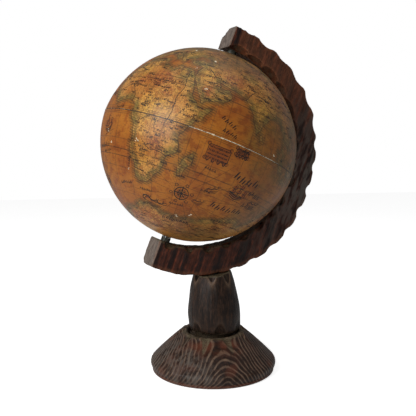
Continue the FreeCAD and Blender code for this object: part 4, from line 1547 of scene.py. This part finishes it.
def bare_ground(material):
    """Chips in the map and the whitish edges of the crack round the equator."""
    points, faces = [], []
    for longitude, latitude, size in CHIPS:
        for _ in range(3):
            beside = longitude + draw.uniform(-0.9, 0.9)
            place = Place(beside, latitude + draw.uniform(-0.7, 0.7), draw.uniform(0, 360))
            length = size * draw.uniform(0.5, 1.1)
            breadth = size * draw.uniform(0.18, 0.42)
            corners = []
            for index in range(9):
                angle = math.radians(40 * index)
                wild = draw.uniform(0.6, 1.15)
                corners.append((length * wild * math.cos(angle), breadth * wild * math.sin(angle)))
            flake(points, faces, place(corners))
    longitude = -180.0
    while longitude < 180:
        span = draw.uniform(1.2, 3.6)
        middle = longitude + span / 2
        widest = float(smoothstep(42, 60, middle) * smoothstep(67, 62, middle))
        open_here = float(smoothstep(40, 43, middle) * smoothstep(100, 92, middle))
        faint = float(smoothstep(-26, -20, middle) * smoothstep(16, 8, middle))
        if draw.random() < 0.12 + 0.88 * open_here + 0.5 * faint:
            wide = (0.05 + 0.22 * widest + 0.09 * open_here) * draw.uniform(0.4, 1.7)
            count = 6
            east = np.linspace(longitude, longitude + span, count)
            drift = draw.uniform(-0.08, 0.08)
            opened = [wide * (0 < index < count - 1) for index in range(count)]
            upper = [drift + draw.uniform(0.4, 1.0) * half_width for half_width in opened]
            lower = [drift - draw.uniform(0.3, 0.8) * half_width for half_width in opened]
            ring_lon = np.concatenate([east, east[-2:0:-1]])
            ring_lat = np.array(upper + lower[-2:0:-1])
            flake(points, faces, direction_at(ring_lon, ring_lat)[::-1])
        longitude += span * (0.9 + 0.3 * draw.random() * (1 - open_here))
    return mesh_piece("bare_ground", in_world(points), faces, "globe", material, ())


# ---------------------------------------------------------------- build the pieces

carved_arm()
carved_stem()
turned_base()
map_material = varnished_map()
map_skin("map_north", True, map_material)
map_skin("map_south", False, map_material)
ink_lines, warm_lines = draw_map_ink()
dark_ink = ink_material("map_ink", (0.010, 0.007, 0.006))
red_ink = ink_material("map_red", (0.20, 0.050, 0.008))
for half_name in ("north", "south"):
    ink_lines[half_name].piece("drawing_" + half_name, dark_ink)
    warm_lines[half_name].piece("colouring_" + half_name, red_ink, lift=0.035)
chalk_material = chalk()
bare_ground(chalk_material)

NODE_FINISHES = {
    "base_felt": felt(),
    "base_washer": steel(),
    "base_screw": steel(),
    "axle_rod": steel(),
    "arm_dowels": plain_wood(),
    "axle_plug": plain_wood(),
    "upper_spacer": dark_metal(),
    "lower_spacer": dark_metal(),
    "pole_bush_north": dark_metal(),
    "pole_bush_south": dark_metal(),
    "pole_block_north": plain_wood(),
    "pole_block_south": plain_wood(),
    "hemisphere_north": card("papier_mache", (0.26, 0.19, 0.11), (0.46, 0.36, 0.23)),
    "hemisphere_south": card("papier_mache_south", (0.26, 0.19, 0.11), (0.46, 0.36, 0.23)),
    "gesso_north": chalk_material,
    "gesso_south": chalk_material,
    "equator_band": card("grey_card", (0.26, 0.24, 0.21), (0.46, 0.44, 0.39)),
}
for node_name, finish in NODE_FINISHES.items():
    node = frame["nodes"][node_name]
    node.data.materials.clear()
    node.data.materials.append(finish)


# ---------------------------------------------------------------- floor, light, camera

def seen_white(tree, lit, seen):
    """Mix two shaders: one for light, one for what the camera sees of the backdrop itself."""
    path = tree.nodes.new("ShaderNodeLightPath")
    mixed = tree.nodes.new("ShaderNodeMixShader")
    tree.links.new(path.outputs["Is Camera Ray"], mixed.inputs["Fac"])
    tree.links.new(lit, mixed.inputs[1])
    tree.links.new(seen, mixed.inputs[2])
    return mixed.outputs["Shader"]


def white_world(strength):
    """Even pale surroundings that light the object softly and look white behind it."""
    world = bpy.data.worlds.new("studio")
    world.use_nodes = True
    tree = world.node_tree
    shaders = []
    for level in (strength, 1.0):
        background = tree.nodes.new("ShaderNodeBackground")
        background.inputs["Color"].default_value = (1.0, 1.0, 1.0, 1.0)
        background.inputs["Strength"].default_value = level
        shaders.append(background.outputs["Background"])
    tree.links.new(seen_white(tree, *shaders), tree.nodes["World Output"].inputs["Surface"])
    bpy.context.scene.world = world


def studio_floor():
    mesh = bpy.data.meshes.new("floor")
    half = 3.0
    corners = [(-half, -half, 0), (half, -half, 0), (half, half, 0), (-half, half, 0)]
    mesh.from_pydata(corners, [], [(0, 1, 2, 3)])
    s = Shader("floor_paint")
    place = s.place()
    s.finish(s.mix(s.noise(place, 3.0), (0.80, 0.80, 0.80), (0.84, 0.84, 0.84)), 0.9)
    glow = s.node("ShaderNodeEmission", {"Strength": 0.74})
    both = s.tree.nodes.new("ShaderNodeAddShader")
    s.tree.links.new(s.surface.outputs["BSDF"], both.inputs[0])
    s.tree.links.new(glow.outputs["Emission"], both.inputs[1])
    seen = seen_white(s.tree, s.surface.outputs["BSDF"], both.outputs["Shader"])
    s.tree.links.new(seen, s.tree.nodes["Material Output"].inputs["Surface"])
    mesh.materials.append(s.material)
    floor = bpy.data.objects.new("floor", mesh)
    bpy.context.scene.collection.objects.link(floor)


def soft_light(name, azimuth, elevation, distance, size, power, target):
    """An area light aimed at a target; azimuth 0 is in front (-Y), positive to the right (+X)."""
    data = bpy.data.lights.new(name, "AREA")
    data.shape = "RECTANGLE"
    data.size, data.size_y = size
    data.energy = power
    lamp = bpy.data.objects.new(name, data)
    bpy.context.scene.collection.objects.link(lamp)
    turn = math.radians(azimuth)
    rise = math.radians(elevation)
    offset = Vector((math.sin(turn) * math.cos(rise), -math.cos(turn) * math.cos(rise), math.sin(rise)))
    lamp.location = Vector(target) + offset * distance
    lamp.rotation_euler = (-offset).to_track_quat("-Z", "Y").to_euler()


def photo_camera():
    """The viewpoint: a little left of the front, level with the globe's lower half, about 0.6 m away."""
    data = bpy.data.cameras.new("camera")
    data.sensor_width = 36.0
    data.lens = 49.9
    camera = bpy.data.objects.new("camera", data)
    bpy.context.scene.collection.objects.link(camera)
    azimuth = 0.343
    distance = 0.6
    camera.location = (-distance * math.sin(azimuth), -distance * math.cos(azimuth), 0.2166)
    aim = azimuth - 0.009
    pitch = 0.078
    forward = Vector((math.sin(aim) * math.cos(pitch), math.cos(aim) * math.cos(pitch), -math.sin(pitch)))
    camera.rotation_euler = forward.to_track_quat("-Z", "Y").to_euler()
    bpy.context.scene.camera = camera


bpy.context.scene.view_settings.view_transform = "Standard"
white_world(0.25)
studio_floor()
middle = (0, 0, 0.2)
soft_light("key", -60, 24, 1.1, (0.6, 0.8), 9.5, middle)
soft_light("top", 15, 80, 1.3, (1.2, 1.2), 4.5, middle)
photo_camera()
